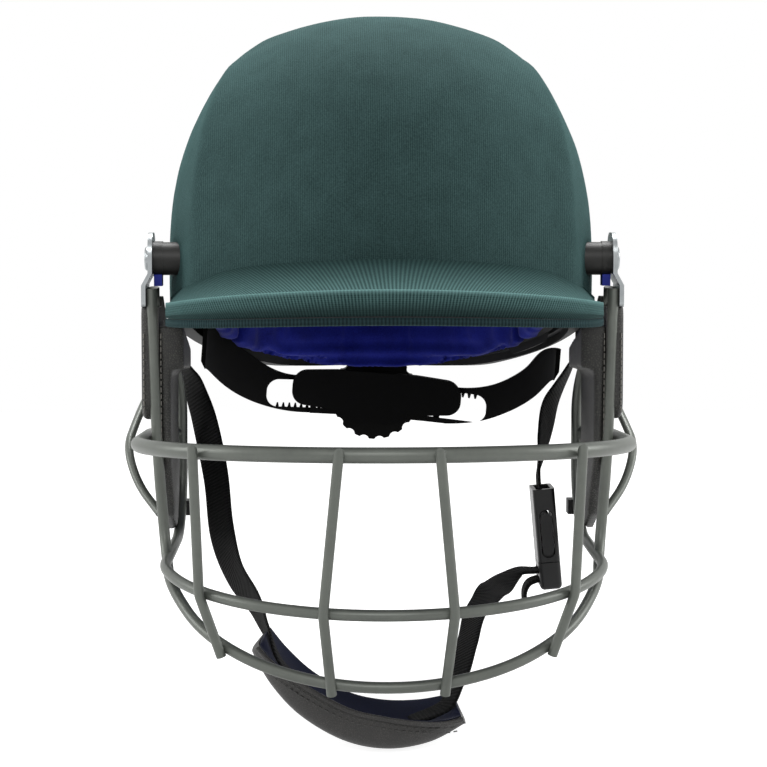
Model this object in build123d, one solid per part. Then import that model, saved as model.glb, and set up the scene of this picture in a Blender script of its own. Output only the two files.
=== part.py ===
from build123d import *
import math
import os

# Cricket helmet with a steel face guard, in millimetres.
# The origin is the middle of the head opening, level with the peak's lower edge.
# The face looks along -Y, +X is the side with the buckle, and +Z is up.

# Shell sizes
shell_half_width = 100.0
shell_front = 112.0
shell_rear = 130.0
crown_height = 138.5
widest_height = 20.0
dome_exponent = 2.4
dome_points = 9
cover_thickness = 1.2
shell_thickness = 3.0
foam_thickness = 12.0
pad_thickness = 9.0
skirt_depth = 80.0
overrun = 20.0
far = 400.0

# Rim of the shell, seen from the side
rim_front_height = 4.0
rim_rear_height = -33.8
rim_front_y = -20.0
rim_rear_y = 110.0
rim_bend_radius = 60.0
trim_height = 4.0
trim_depth = 7.0

# Liner pads
pad_low_height = -2.0
side_pad_top = 62.0
crown_pad_low = 72.0
brow_half_angle = 36.0
rear_half_angle = 52.0
pad_gap_angle = 4.0
channel_radius = 2.2
channel_angles = (-34.0, -12.0, 12.0, 34.0)
soft_gap = 0.3

# Peak sizes
peak_half_width = 98.5
peak_tip = 157.0
peak_corner_y = 60.0
peak_corner_exponent = 2.3
peak_crease_height = 28.0
peak_crease_fall = 10.0
peak_crease_drop = 11.0
peak_fold_height = 15.4
peak_fold_fall = 7.0
peak_fold_drop = 2.0
peak_end_power = 8
peak_low_height = 1.4
peak_low_fall = 4.0
peak_fold_round = 5.0
peak_sag = 1.2
peak_roll = 2.0
peak_stations = 13
peak_end_share = 0.985
peak_cover_thickness = 1.0
peak_rear_y = -46.0
binding_height = 3.5
binding_depth = 6.0
binding_proud = 0.5

# Temple fixing
temple_y = -35.0
temple_z = 26.0
spacer_radius = 8.0
spacer_step = 0.4
spacer_joint_x = 101.0
bolt_radius = 2.5
bolt_head_radius = 5.5
bolt_head_height = 2.0
hinge_clearance = 0.08
nut_radius = 8.0
nut_flange = 1.5
nut_barrel_radius = 3.8
nut_length = 9.0
bumper_length = 9.0
bumper_height = 4.5
bumper_width = 4.0

# Side plate of the grille
plate_inner_x = 105.3
plate_thickness = 2.0
plate_flare = 3.0
plate_top = 38.0
plate_jog_top = 19.5
plate_jog_low = 14.0
plate_low = 4.0
plate_half_width = 13.0
plate_corner_radius = 10.0
plate_foot_radius = 2.5

# Grille wires
wire_radius = 2.5
bar_radius = 3.4
upright_radius = 2.2
loop_radius = 2.0
weld_sink = 0.6
wire_bend_share = 0.48
arch_steps = 8

# Front wire: from the side plate down and round the chin
front_wire_y = -45.0
front_wire_top = 12.5
front_wire_knee = -66.0
front_wire_knee_x = 103.4
front_wire_low = -111.0
front_wire_low_x = 99.4
lower_half_width = 96.0
lower_side_y = -62.0
lower_depth = 78.0
lower_front_height = -153.2
lower_slope_share = 0.55

# Rear wire: from the side plate back, down and round the mouth
rear_wire_top_y = -27.0
rear_wire_back_y = 22.0
rear_wire_back_x = 96.0
rear_wire_low = -106.0
rear_wire_shoulder = -12.0
mid_half_width = 99.0
mid_side_y = -65.0
mid_depth = 87.0
mid_front_height = -120.3
mid_slope_share = 0.13

# Top bar
top_half_width = 110.8
top_side_y = -60.0
top_depth = 97.0
top_front_height = -52.5
top_slope_share = 0.045
top_back_y = 15.0

# Uprights: half spacings at the top, mid and lower bar
inner_upright_x = (20.3, 26.6, 23.6)
outer_upright_x = (79.6, 78.0, 70.5)
upright_overhang_top = 4.6
upright_overhang_low = 4.5
upright_bend_radius = 14.0

# Ear guards
guard_outer_x = 110.6
guard_split_x = 102.5
guard_inner_x = 97.0
guard_cheek_x = 91.0
guard_front_y = -46.2
guard_rear_y = 12.0
guard_top = 8.0
guard_step = -48.0
guard_low = -104.0
guard_toe_y = 18.5
guard_cheek_low = -24.0
guard_rim_gap = 8.0
guard_edge_radius = 2.6
guard_corner_radius = 9.0
loop_out_x = 119.8
loop_out_height = -63.0
loop_front_height = -91.0
loop_front_y = -43.0
loop_cross_y = -18.0
loop_back_y = 26.5
loop_back_height = -36.0
tie_height = 7.0
tie_margin = 2.0

# Chin strap
strap_width = 16.0
strap_thickness = 1.6
strap_anchor_y = 30.0
strap_top = 14.0
strap_bend = -14.0
strap_drop = 150.0
strap_end_thickness = 2.0
ribbon_steps = 3
rivet_radius = 4.0
rivet_shank_radius = 2.0
rivet_height = 1.5
rivet_z = 6.0
rivet_turn = 50.0

# Routes of the straps, chosen by hand: x as a share of the shell's half width, y of its
# front, z of the strap's drop, and the way that the strap's width lies
strap_left_shares = (
    (-0.965, 0.277, -0.15, (-0.1, 1, 0)),
    (-0.94, 0.286, -0.2, (-0.4, 0.92, 0)),
    (-0.906, 0.268, -0.26, (-0.65, 0.76, 0)),
    (-0.852, 0.214, -0.367, (-0.73, 0.68, 0)),
    (-0.793, 0.089, -0.533, (-0.73, 0.65, -0.2)),
    (-0.759, -0.054, -0.693, (-0.73, 0.6, -0.3)),
    (-0.69, -0.232, -0.807, (-0.6, 0.2, -0.75)),
    (-0.591, -0.446, -0.877, (-0.6, 0.1, -0.78)),
    (-0.52, -0.643, -0.947, (-0.7, -0.4, -0.55)),
    (-0.455, -0.777, -1.021, (-0.3, -0.95, -0.1)),
    (-0.339, -0.8125, -1.103, (0, -1, 0)),
)
strap_right_shares = (
    (0.965, 0.277, -0.15, (0.1, 1, 0)),
    (0.93, 0.277, -0.2, (0.3, 0.95, 0)),
    (0.842, 0.232, -0.307, (0.5, 0.86, 0)),
    (0.785, 0.1, -0.42, (0.35, 0.93, 0)),
    (0.755, -0.009, -0.507, (0.05, 1, 0)),
    (0.76, -0.018, -0.577, (0, 1, 0)),
)
strap_lower_shares = (
    (0.793, -0.018, -0.824, (0, 1, 0)),
    (0.735, -0.018, -0.829, (0, 1, 0)),
    (0.67, -0.02, -0.83, (0, 1, 0.05)),
    (0.61, -0.05, -0.843, (0, 0.85, 0.5)),
    (0.56, -0.14, -0.858, (-0.1, 0.5, 0.85)),
    (0.493, -0.31, -0.878, (-0.3, 0.3, 0.9)),
    (0.419, -0.482, -0.92, (-0.5, -0.25, 0.8)),
    (0.369, -0.625, -0.993, (-0.6, -0.4, 0.7)),
    (0.325, -0.732, -1.07, (-0.6, -0.5, 0.7)),
    (0.262, -0.799, -1.146, (-0.4, -0.9, 0.1)),
    (0.108, -0.83, -1.182, (0, -1, 0)),
)
strap_end_shares = (
    (0.798, -0.018, -0.853, (0, 1, 0)),
    (0.75, -0.018, -0.857, (0, 1, 0)),
    (0.71, -0.018, -0.869, (0, 1, 0)),
    (0.69, -0.018, -0.895, (0, 1, 0)),
    (0.69, -0.018, -0.93, (0, 1, 0)),
)

# Buckle
buckle_x = 77.0
buckle_y = -2.0
buckle_top = -84.0
buckle_length = 35.0
buckle_lean = 5.0
buckle_thickness = 10.5
buckle_width = 22.0
buckle_wall = 1.8
buckle_round = 2.2
buckle_roof = 8.0
window_height = 23.0
window_width = 6.4
plug_length = 13.0
plug_gap = 0.4
prong_thickness = 5.0
prong_width = 4.0
prong_length = 22.0
prong_proud = 0.6
button_height = 20.0
button_width = 5.4
guide_width = 4.0
slot_height = 3.4

# Chin cup: stations from the +X end as shares of its reach, the shell's front and the
# strap's drop, with the slope in degrees and a share of the full section
cup_thickness = 5.0
cup_lining_thickness = 2.5
cup_half_depth = 24.0
cup_wall = 12.0
cup_rear_rise = 4.0
cup_reach = 56.0
piping_radius = 1.1
cup_shares = (
    (0.59, -0.804, -1.157, -28.0, 0.62),
    (0.32, -0.83, -1.2, -20.0, 0.88),
    (0.0, -0.848, -1.213, -6.0, 1.0),
    (-0.32, -0.839, -1.19, 10.0, 1.0),
    (-0.64, -0.813, -1.123, 24.0, 0.96),
    (-0.86, -0.777, -1.04, 36.0, 0.84),
    (-1.0, -0.741, -0.953, 48.0, 0.62),
)

# Rear cradle
cradle_radius = 89.0
cradle_centre_y = 32.0
cradle_middle = -51.0
cradle_tilt = 4.5
band_thickness = 2.2
band_height = 19.5
band_end_y = 30.0
left_low_shares = (
    (0.42, -0.5), (0.53, -0.46), (0.64, -0.35), (0.75, -0.16), (0.875, 0.21), (0.96, 0.65), (1.06, 1.75))
left_top_shares = ((1.06, 3.0), (0.93, 1.75), (0.8, 1.2), (0.68, 0.8), (0.56, 0.55), (0.45, 0.5))
right_low_shares = (
    (0.42, -0.5), (0.52, -0.43), (0.63, -0.28), (0.73, -0.04), (0.82, 0.27), (0.89, 0.63), (0.945, 1.12),
    (1.03, 1.75))
right_top_shares = (
    (1.03, 1.95), (0.96, 1.93), (0.92, 1.84), (0.88, 1.63), (0.84, 1.32), (0.78, 1.03), (0.68, 0.72),
    (0.57, 0.55), (0.45, 0.5))
slot_corner_radius = 6.0
band_slot_front = 14.0
band_slot_rear = 112.0
band_slot_top = 16.0
rack_outer_x = 62.0
rack_inner_x = 34.0
slot_outer_x = 57.0
rack_rail = 3.2
tooth_pitch = 3.1
tooth_height = 2.4
rack_gap = 0.3
housing_half_width = 44.0
housing_top = 13.6
housing_low = -13.2
housing_lobe_top = 12.2
housing_lobe_low = -4.6
housing_waist_x = 21.0
housing_waist_low = -7.5
housing_belly_x = 9.5
housing_end_radius = 7.5
housing_wall = 1.6
housing_waist_radius = 5.0
knob_radius = 23.0
knob_height = 10.0
knob_lobes = 18
knob_lobe_radius = 3.0
knob_gap = 0.4
knob_cap_radius = 14.0
knob_hub_radius = 11.0
knob_hub_length = 8.5
shaft_radius = 3.0
pinion_teeth = 12


# Shared helpers

def polygon(points):
    return make_face(Polyline(*points, close=True))


def side_prism(points, x_low, x_high):
    """A prism along X whose outline is given as (y, z)."""
    outline = Plane.YZ * polygon(points)
    return Pos(x_low, 0, 0) * extrude(outline, amount=x_high - x_low)


def front_prism(points, y_low, y_high):
    """A prism along Y whose outline is given as (x, z)."""
    outline = Plane.XZ * polygon(points)
    return Pos(0, y_high, 0) * extrude(outline, amount=y_high - y_low)


def rod_x(radius, x_low, x_high, y, z):
    """A cylinder along X."""
    rod = Cylinder(radius, x_high - x_low)
    return Pos((x_low + x_high) / 2, y, z) * Rot(0, 90, 0) * rod


def rod_y(radius, y_low, y_high, x, z):
    """A cylinder along Y."""
    rod = Cylinder(radius, y_high - y_low)
    return Pos(x, (y_low + y_high) / 2, z) * Rot(90, 0, 0) * rod


def span_box(x_low, x_high, y_low, y_high, z_low, z_high):
    """A box between two corners."""
    box = Box(x_high - x_low, y_high - y_low, z_high - z_low)
    return Pos((x_low + x_high) / 2, (y_low + y_high) / 2, (z_low + z_high) / 2) * box


def other_side(shape):
    return mirror(shape, about=Plane.YZ)


def bend_radii(points, share):
    """The largest bend at each inner point that its two runs leave room for."""
    radii = []
    for before, here, after in zip(points, points[1:], points[2:]):
        run_in = Vector(*here) - Vector(*before)
        run_out = Vector(*after) - Vector(*here)
        half_turn = math.radians(run_in.get_angle(run_out)) / 2
        room = min(run_in.length, run_out.length)
        radii.append(share * room / math.tan(half_turn))
    return radii


def bent_wire(points, radius):
    """A round wire along straight runs joined by tangent arcs."""
    path = FilletPolyline(*points, radius=bend_radii(points, wire_bend_share))
    start = Plane(origin=path @ 0, z_dir=path % 0)
    return sweep(start * Circle(radius), path=path)


def eased(before, here, after, beyond, share):
    """A point between here and after, on a smooth curve through all four."""
    first = (after - before) * 0.5
    last = (beyond - here) * 0.5
    rise = share * share * (3 - 2 * share)
    lead = share * (1 - share) ** 2
    trail = share * share * (share - 1)
    return here + (after - here) * rise + first * lead + last * trail


def smooth_stations(stations):
    """The same stations with eased ones between them."""
    points = [Vector(*point) for point, across in stations]
    widths = [Vector(*across).normalized() for point, across in stations]
    last = len(points) - 1
    fine = []
    for index in range(last):
        before = points[max(index - 1, 0)]
        beyond = points[min(index + 2, last)]
        for step in range(ribbon_steps):
            share = step / ribbon_steps
            point = eased(before, points[index], points[index + 1], beyond, share)
            fine.append((point, widths[index] * (1 - share) + widths[index + 1] * share))
    fine.append((points[last], widths[last]))
    return fine


def ribbon(stations, width, thickness):
    """A flat band through stations of (point, direction of its width)."""
    fine = smooth_stations(stations)
    last = len(fine) - 1
    sections = []
    for index in range(last + 1):
        here = fine[index][0]
        along = (fine[min(index + 1, last)][0] - fine[max(index - 1, 0)][0]).normalized()
        across = fine[index][1]
        across = (across - along * across.dot(along)).normalized()
        plane = Plane(origin=here, x_dir=across, z_dir=along)
        sections.append(plane * Rectangle(width, thickness))
    return loft(sections, ruled=True)


# Dome layers

def half_dome(inset, depth):
    """Half of the dome towards +Y, as deep as given."""
    half = shell_half_width - inset
    rise = crown_height - widest_height - inset
    power = 2 / dome_exponent
    arc = []
    for index in range(dome_points):
        angle = math.pi / 2 * index / (dome_points - 1)
        across = half * max(math.cos(angle), 0) ** power
        arc.append((across, widest_height + rise * math.sin(angle) ** power))
    arc[-1] = (0, widest_height + rise)
    foot = widest_height - skirt_depth
    crown = Spline(*arc, tangents=((0, 1), (-1, 0)))
    walls = Polyline(arc[-1], (0, foot), (half, foot), arc[0])
    profile = Plane.XZ * make_face([crown, walls])
    turned = revolve(profile, axis=Axis.Z, revolution_arc=180)
    return scale(turned, by=(1, (depth - inset) / half, 1))


def dome(inset):
    """The whole dome, its surface moved in by the inset."""
    front = mirror(half_dome(inset, shell_front), about=Plane.XZ)
    return front + half_dome(inset, shell_rear)


def below_rim(shift):
    """All the space under the rim line, raised by the shift."""
    start = (-far, rim_front_height + shift)
    first = (rim_front_y, rim_front_height + shift)
    second = (rim_rear_y, rim_rear_height + shift)
    end = (far, rim_rear_height + shift)
    line = FilletPolyline(start, first, second, end, radius=rim_bend_radius)
    rest = Polyline(end, (far, -far), (-far, -far), start)
    outline = Plane.YZ * make_face([line, rest])
    return Pos(-far, 0, 0) * extrude(outline, amount=2 * far)


def wedge(angle_low, angle_high, z_low, z_high):
    """A wedge about Z; angles are counted from the rear towards -X."""
    points = [(0, 0)]
    steps = 4
    for index in range(steps + 1):
        angle = math.radians(angle_low + (angle_high - angle_low) * index / steps)
        points.append((-far * math.sin(angle), far * math.cos(angle)))
    return Pos(0, 0, z_low) * extrude(polygon(points), amount=z_high - z_low)


shell_outset = cover_thickness
foam_outset = shell_outset + shell_thickness
pad_outset = foam_outset + foam_thickness
head_outset = pad_outset + pad_thickness
dome_outside = dome(0)
dome_shell = dome(shell_outset)
dome_foam = dome(foam_outset)
dome_pad = dome(pad_outset)
dome_head = dome(head_outset)
under_trim = below_rim(trim_height)
under_rim = below_rim(0)


def make_dome_cover():
    return dome_outside - dome_shell - under_trim


def make_outer_shell():
    return dome_shell - dome_foam - under_trim


def make_foam_liner():
    return dome_foam - dome_pad - under_trim


def make_rim_trim():
    ring = dome_outside - dome(trim_depth)
    return (ring & under_trim) - under_rim


def pad_layer(angle_low, angle_high, low, high):
    layer = dome_pad - dome_head
    return (layer & wedge(angle_low, angle_high, low, high)) - below_rim(pad_low_height)


def make_rear_pad():
    pad = pad_layer(-rear_half_angle, rear_half_angle, rim_rear_height - overrun, side_pad_top)
    depth = shell_rear - head_outset
    for angle in channel_angles:
        turn = math.radians(angle)
        x = -(shell_half_width - head_outset) * math.sin(turn)
        y = depth * math.cos(turn)
        groove = Cylinder(channel_radius, far)
        pad = pad - Pos(x, y, 0) * groove
    return pad


def make_side_pad():
    low = rear_half_angle + pad_gap_angle
    high = 180 - brow_half_angle - pad_gap_angle
    return pad_layer(low, high, rim_rear_height - overrun, side_pad_top)


def make_brow_pad():
    low = 180 - brow_half_angle
    high = 180 + brow_half_angle
    return pad_layer(low, high, rim_rear_height - overrun, side_pad_top)


def make_crown_pad():
    layer = dome_pad - dome_head
    return layer & span_box(-far, far, -far, far, crown_pad_low, far)


# Peak

def peak_plan(share, inset):
    """Place of the lip for a share of the half width: x and y."""
    x = share * (peak_half_width - inset)
    depth = peak_tip - peak_corner_y - inset
    bow = (1 - abs(share) ** peak_corner_exponent) ** (1 / peak_corner_exponent)
    return x, -peak_corner_y - depth * bow


def peak_heights(share):
    """Crease, fold and lower edge heights for a share of the half width."""
    end = abs(share) ** peak_end_power
    crease = peak_crease_height - peak_crease_fall * share ** 2 - peak_crease_drop * end
    fold = peak_fold_height - peak_fold_fall * share ** 2 - peak_fold_drop * end
    low = peak_low_height - peak_low_fall * share ** 2
    return crease, fold, low


def peak_shares():
    count = peak_stations - 1
    turns = [math.pi * (index / count - 1 / 2) for index in range(peak_stations)]
    return [peak_end_share * math.sin(turn) for turn in turns]


def peak_section(share, inset):
    """One fore-and-aft section of the peak."""
    x, lip_y = peak_plan(share, inset)
    crease, fold, low = peak_heights(share)
    root_y = -shell_front * math.sqrt(max(1 - (x / shell_half_width) ** 2, 0)) + overrun
    top_in = crease - inset + (crease - fold) * overrun / (peak_tip - shell_front)
    top = fold - inset
    bottom = low + inset
    bend = peak_fold_round
    points = [
        (x, root_y, top_in),
        (x, (root_y + lip_y) / 2, (crease + fold) / 2 - peak_sag - inset),
        (x, lip_y + bend, top - peak_sag / 4),
        (x, lip_y + bend / 2, top),
        (x, lip_y + bend / 8, top - bend / 3),
        (x, lip_y, (top - bend / 3 + bottom + peak_roll) / 2),
        (x, lip_y + peak_roll / 4, bottom + peak_roll),
        (x, lip_y + peak_roll, bottom),
        (x, root_y, bottom),
    ]
    return make_face(Polyline(*points, close=True))


def in_front(shape):
    """The part of the peak that stands clear of the temple fixings."""
    return shape & span_box(-far, far, -far, peak_rear_y, -far, far)


def peak_solid(inset):
    sections = [peak_section(share, inset) for share in peak_shares()]
    return in_front(loft(sections)) - dome_outside


def binding_section(share):
    x, lip_y = peak_plan(share, 0)
    low = peak_heights(share)[2]
    front = lip_y - binding_proud
    back = lip_y + binding_depth
    points = [
        (x, front + binding_proud, low - binding_proud),
        (x, back, low - binding_proud),
        (x, back, low + binding_height / 2),
        (x, front + binding_proud, low + binding_height),
        (x, front, low + binding_height / 2),
    ]
    return make_face(Polyline(*points, close=True))


def make_peak_parts():
    """The moulded core, the cloth over it and the ribbed binding under its lip."""
    band = loft([binding_section(share) for share in peak_shares()])
    binding = in_front(band) - dome_outside
    core = peak_solid(peak_cover_thickness) - binding
    cover = peak_solid(0) - peak_solid(peak_cover_thickness) - binding
    return core, cover, binding


# Temple fixing, made on the +X side

def make_inner_spacer():
    block = rod_x(spacer_radius - spacer_step, temple_inner_x, spacer_joint_x, temple_y, temple_z)
    return block - dome_outside - bolt_shank(0)


def make_outer_spacer():
    block = rod_x(spacer_radius, spacer_joint_x, plate_inner_x, temple_y, temple_z)
    return block - bolt_shank(0)


def make_bumper():
    top = temple_z - spacer_radius
    block = span_box(
        plate_inner_x - bumper_width, plate_inner_x - soft_gap,
        temple_y - bumper_length / 2, temple_y + bumper_length / 2,
        top - bumper_height, top + spacer_step * 2)
    return block - rod_x(spacer_radius, spacer_joint_x, plate_inner_x, temple_y, temple_z)


temple_share = math.sqrt(1 - (temple_y / shell_front) ** 2)
temple_inner_x = (shell_half_width - foam_outset) * temple_share - overrun / 4
nut_face_x = (shell_half_width - foam_outset) * temple_share - nut_flange


def bolt_shank(gap):
    return rod_x(bolt_radius + gap, nut_face_x - nut_length, plate_inner_x + plate_thickness,
                 temple_y, temple_z)


def make_bolt():
    face = plate_inner_x + plate_thickness
    head = rod_x(bolt_head_radius, face, face + bolt_head_height, temple_y, temple_z)
    head = fillet(head.edges().group_by(Axis.X)[-1], bolt_head_height / 2)
    return bolt_shank(0) + head


def make_nut():
    seat = temple_inner_x + overrun / 2
    flange = rod_x(nut_radius, nut_face_x - nut_flange, seat, temple_y, temple_z) & dome_foam
    barrel = rod_x(nut_barrel_radius, nut_face_x - nut_length, nut_face_x, temple_y, temple_z)
    return flange + barrel - bolt_shank(0)


# Side plate of the grille, +X side

def make_side_plate():
    inner = plate_inner_x
    outer = plate_inner_x + plate_thickness
    points = [
        (inner, plate_top),
        (inner, plate_jog_top),
        (inner + plate_flare, plate_jog_low),
        (inner + plate_flare, plate_low),
        (outer + plate_flare, plate_low),
        (outer + plate_flare, plate_jog_low),
        (outer, plate_jog_top),
        (outer, plate_top),
    ]
    back = temple_y + plate_half_width
    front = temple_y - plate_half_width
    sheet = front_prism(points, front, back)
    blank = side_prism(
        [(front, plate_low), (back, plate_low), (back, plate_top), (front, plate_top)],
        inner - overrun, outer + overrun)
    tall = blank.edges().filter_by(Axis.X).group_by(Axis.Z)
    blank = fillet(tall[-1], plate_corner_radius)
    foot = blank.edges().filter_by(Axis.X).group_by(Axis.Z)[0]
    blank = fillet(foot, plate_foot_radius)
    hole = rod_x(bolt_radius + hinge_clearance, inner - overrun, outer + overrun,
                 temple_y, temple_z)
    return (sheet & blank) - hole


# Grille wires

def arch_points(half_width, side_y, depth, front_height, slope, start_share):
    """Corners round a half ellipse from +X to -X, touching it between them."""
    points = []
    step = math.pi / arch_steps
    front_y = side_y - depth
    for index in range(arch_steps):
        angle = step * (index + start_share)
        x = half_width * math.cos(angle) / math.cos(step / 2)
        y = side_y - depth * math.sin(angle) / math.cos(step / 2)
        z = front_height + slope * (max(y, front_y) - front_y)
        points.append((x, y, z))
    return points


def mirrored_run(points):
    return [(-x, y, z) for x, y, z in reversed(points)]


middle_share = 1 / 2


def make_lower_bar():
    run = [
        (plate_inner_x + plate_flare - wire_radius, front_wire_y, front_wire_top),
        (front_wire_knee_x, front_wire_y, front_wire_knee),
        (front_wire_low_x, front_wire_y - wire_radius, front_wire_low),
    ]
    arch = arch_points(lower_half_width, lower_side_y, lower_depth, lower_front_height,
                       lower_slope_share, middle_share)
    return bent_wire(run + arch + mirrored_run(run), wire_radius)


def make_mid_bar():
    shoulder_x = (plate_inner_x + rear_wire_back_x) / 2 + wire_radius
    run = [
        (plate_inner_x + plate_flare - wire_radius, rear_wire_top_y, front_wire_top),
        (plate_inner_x + plate_flare - wire_radius, rear_wire_top_y + wire_radius, 0),
        (shoulder_x, (rear_wire_top_y + rear_wire_back_y) / 2 + 4 * wire_radius, rear_wire_shoulder),
        (rear_wire_back_x, rear_wire_back_y, rear_wire_shoulder - 10 * wire_radius),
        (rear_wire_back_x, rear_wire_back_y, rear_wire_low),
    ]
    arch = arch_points(mid_half_width, mid_side_y, mid_depth, mid_front_height,
                       mid_slope_share, middle_share)
    return bent_wire(run + arch + mirrored_run(run), wire_radius)


def make_top_bar():
    rise = top_slope_share * (top_back_y - top_side_y + top_depth)
    run = [
        (rear_wire_back_x + wire_radius - weld_sink, rear_wire_back_y, top_front_height - rise),
        (top_half_width, top_back_y, top_front_height - rise),
    ]
    arch = arch_points(top_half_width, top_side_y, top_depth, top_front_height,
                       -top_slope_share, middle_share)
    return bent_wire(run + arch + mirrored_run(run), bar_radius)


def ellipse_y(x, half_width, side_y, depth):
    return side_y - depth * math.sqrt(1 - (x / half_width) ** 2)


def upright_points(spread):
    """Where an upright lies on the front of the three bars."""
    top_y = ellipse_y(spread[0], top_half_width, top_side_y, top_depth)
    mid_y = ellipse_y(spread[1], mid_half_width, mid_side_y, mid_depth)
    low_y = ellipse_y(spread[2], lower_half_width, lower_side_y, lower_depth)
    top_z = top_front_height - top_slope_share * (top_y - top_side_y + top_depth)
    mid_z = mid_front_height + mid_slope_share * (mid_y - mid_side_y + mid_depth)
    low_z = lower_front_height + lower_slope_share * (low_y - lower_side_y + lower_depth)
    seat_top = bar_radius + upright_radius - weld_sink
    seat = wire_radius + upright_radius - weld_sink
    lean_top = (spread[0] / top_half_width) * top_depth / top_half_width
    lean_mid = (spread[1] / mid_half_width) * mid_depth / mid_half_width
    lean_low = (spread[2] / lower_half_width) * lower_depth / lower_half_width
    return [
        Vector(spread[0] + seat_top * lean_top, top_y - seat_top, top_z),
        Vector(spread[1] + seat * lean_mid, mid_y - seat, mid_z),
        Vector(spread[2] + seat * lean_low, low_y - seat, low_z),
    ]


def make_upright(spread, bars):
    top, mid, low = upright_points(spread)
    start = top + (top - mid).normalized() * upright_overhang_top
    end = low + (low - mid).normalized() * upright_overhang_low
    path = FilletPolyline(tuple(start), tuple(mid), tuple(end), radius=upright_bend_radius)
    section = Plane(origin=path @ 0, z_dir=path % 0)
    rod = sweep(section * Circle(upright_radius), path=path)
    cut = Box(far / 10, far / 10, far / 10)
    back = Pos(start.X, start.Y - upright_radius, start.Z) * Rot(-45, 0, 0)
    rod = rod - back * Pos(0, 0, far / 20 - upright_radius / 4) * cut
    for bar in bars:
        rod = rod - bar
    return rod


def make_ear_loop(bars):
    """The side loop of thinner wire, +X side, outside the top bar."""
    points = [
        (front_wire_knee_x - wire_radius / 4, loop_front_y, loop_front_height),
        (loop_out_x - 3 * loop_radius, loop_front_y / 2 + loop_cross_y / 2,
         (loop_front_height + loop_out_height) / 2 - loop_radius),
        (loop_out_x, loop_cross_y, loop_out_height),
        (loop_out_x - 2 * loop_radius, loop_back_y / 4, (loop_out_height + loop_back_height) / 2),
        ((loop_out_x + rear_wire_back_x) / 2 + loop_radius, loop_back_y, loop_back_height),
        (rear_wire_back_x, rear_wire_back_y + wire_radius, loop_back_height - loop_radius),
    ]
    loop = bent_wire(points, loop_radius)
    for bar in bars:
        loop = loop - bar
    return loop


# Ear guards, +X side

def guard_blank(points, x_low, x_high):
    blank = side_prism(points, x_low, x_high)
    return fillet(blank.edges().filter_by(Axis.X), guard_corner_radius)


def make_guard_shell(bars):
    points = [
        (guard_front_y, guard_top),
        (guard_front_y, guard_step),
        (guard_rear_y - guard_corner_radius, guard_step),
        (guard_rear_y, guard_step / 2),
        (guard_rear_y, guard_top / 2 - guard_rim_gap),
        (temple_y + plate_half_width + guard_corner_radius, guard_top),
    ]
    shell = guard_blank(points, guard_split_x, guard_outer_x)
    rim = shell.faces().sort_by(Axis.X)[-1].edges()
    shell = fillet(rim, guard_edge_radius)
    shell = shell - span_box(guard_split_x - overrun, plate_inner_x + plate_thickness + plate_flare
                             + soft_gap, temple_y - plate_half_width - soft_gap,
                             temple_y + plate_half_width + soft_gap, plate_low - soft_gap, far)
    for bar in bars:
        shell = shell - bar
    return shell


def make_guard_pad(bars):
    slope = (rim_rear_height - rim_front_height) / (rim_rear_y - rim_front_y)
    front_top = rim_front_height - guard_rim_gap
    rear_top = front_top + slope * (guard_rear_y - rim_front_y) - guard_rim_gap / 2
    points = [
        (guard_front_y, front_top),
        (guard_front_y, front_wire_knee),
        (guard_front_y / 2, guard_low + guard_corner_radius),
        (0, guard_low),
        (guard_toe_y, guard_low + guard_corner_radius / 2),
        (guard_toe_y, top_front_height - 4 * bar_radius),
        (guard_rear_y, top_front_height - 2 * bar_radius),
        (guard_rear_y, rear_top),
    ]
    blank = side_prism(points, guard_inner_x, guard_split_x)
    cheek_points = [
        (guard_front_y, front_top),
        (guard_front_y, guard_cheek_low),
        (guard_rear_y, guard_cheek_low - guard_rim_gap / 2),
        (guard_rear_y, rear_top),
    ]
    cheek = side_prism(cheek_points, guard_cheek_x, guard_inner_x)
    pad = blank + cheek
    for bar in bars:
        pad = pad - bar
    return pad


def make_guard_tie(pad, rear_wire):
    low = guard_low + guard_corner_radius / 2
    block = span_box(
        rear_wire_back_x - wire_radius - tie_margin, guard_split_x - tie_margin / 2,
        guard_toe_y - 2 * tie_margin, rear_wire_back_y + wire_radius + tie_margin / 2,
        low, low + tie_height)
    block = fillet(block.edges().filter_by(Axis.Z), tie_margin / 2)
    return block - pad - rear_wire


# Chin strap, buckle and cup

def placed(route_shares):
    """Stations of a strap: its shares times the sizes that they follow."""
    stations = []
    for x_share, y_share, z_share, across in route_shares:
        point = (x_share * shell_half_width, y_share * shell_front, z_share * strap_drop)
        stations.append((point, across))
    return stations


strap_side_share = math.sqrt(1 - (strap_anchor_y / shell_rear) ** 2)
strap_side_x = shell_half_width * strap_side_share + strap_thickness / 2 + soft_gap * 2
strap_side_turn = strap_anchor_y / shell_rear ** 2 * shell_half_width / strap_side_share


def anchor_stations(side):
    """The flat start of a strap on the outside of the shell."""
    across = (-side * strap_side_turn, 1, 0)
    heights = (strap_top, (strap_top + strap_bend) / 2, strap_bend)
    return [((side * strap_side_x, strap_anchor_y, z), across) for z in heights]


def longest(cut):
    """The strap itself, without what the cut leaves on the cup's other side."""
    return cut.solids().sort_by(SortBy.VOLUME)[-1]


def make_strap_left(cup):
    band = ribbon(anchor_stations(-1) + placed(strap_left_shares), strap_width, strap_thickness)
    return longest(band - cup - rivet_shank(-1))


def make_strap_upper():
    band = ribbon(anchor_stations(1) + placed(strap_right_shares), strap_width, strap_thickness)
    return band - rivet_shank(1)


def make_strap_lower(cup):
    return longest(ribbon(placed(strap_lower_shares), strap_width, strap_thickness) - cup)


def make_strap_end():
    return ribbon(placed(strap_end_shares), strap_width - strap_thickness, strap_end_thickness)


def rivet_place(side):
    """A strap's rivet stands square on the strap, which lies along the shell."""
    turn = math.degrees(math.atan(strap_side_turn))
    return Pos(side * strap_side_x, strap_anchor_y, rivet_z) * Rot(0, 0, side * turn)


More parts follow.
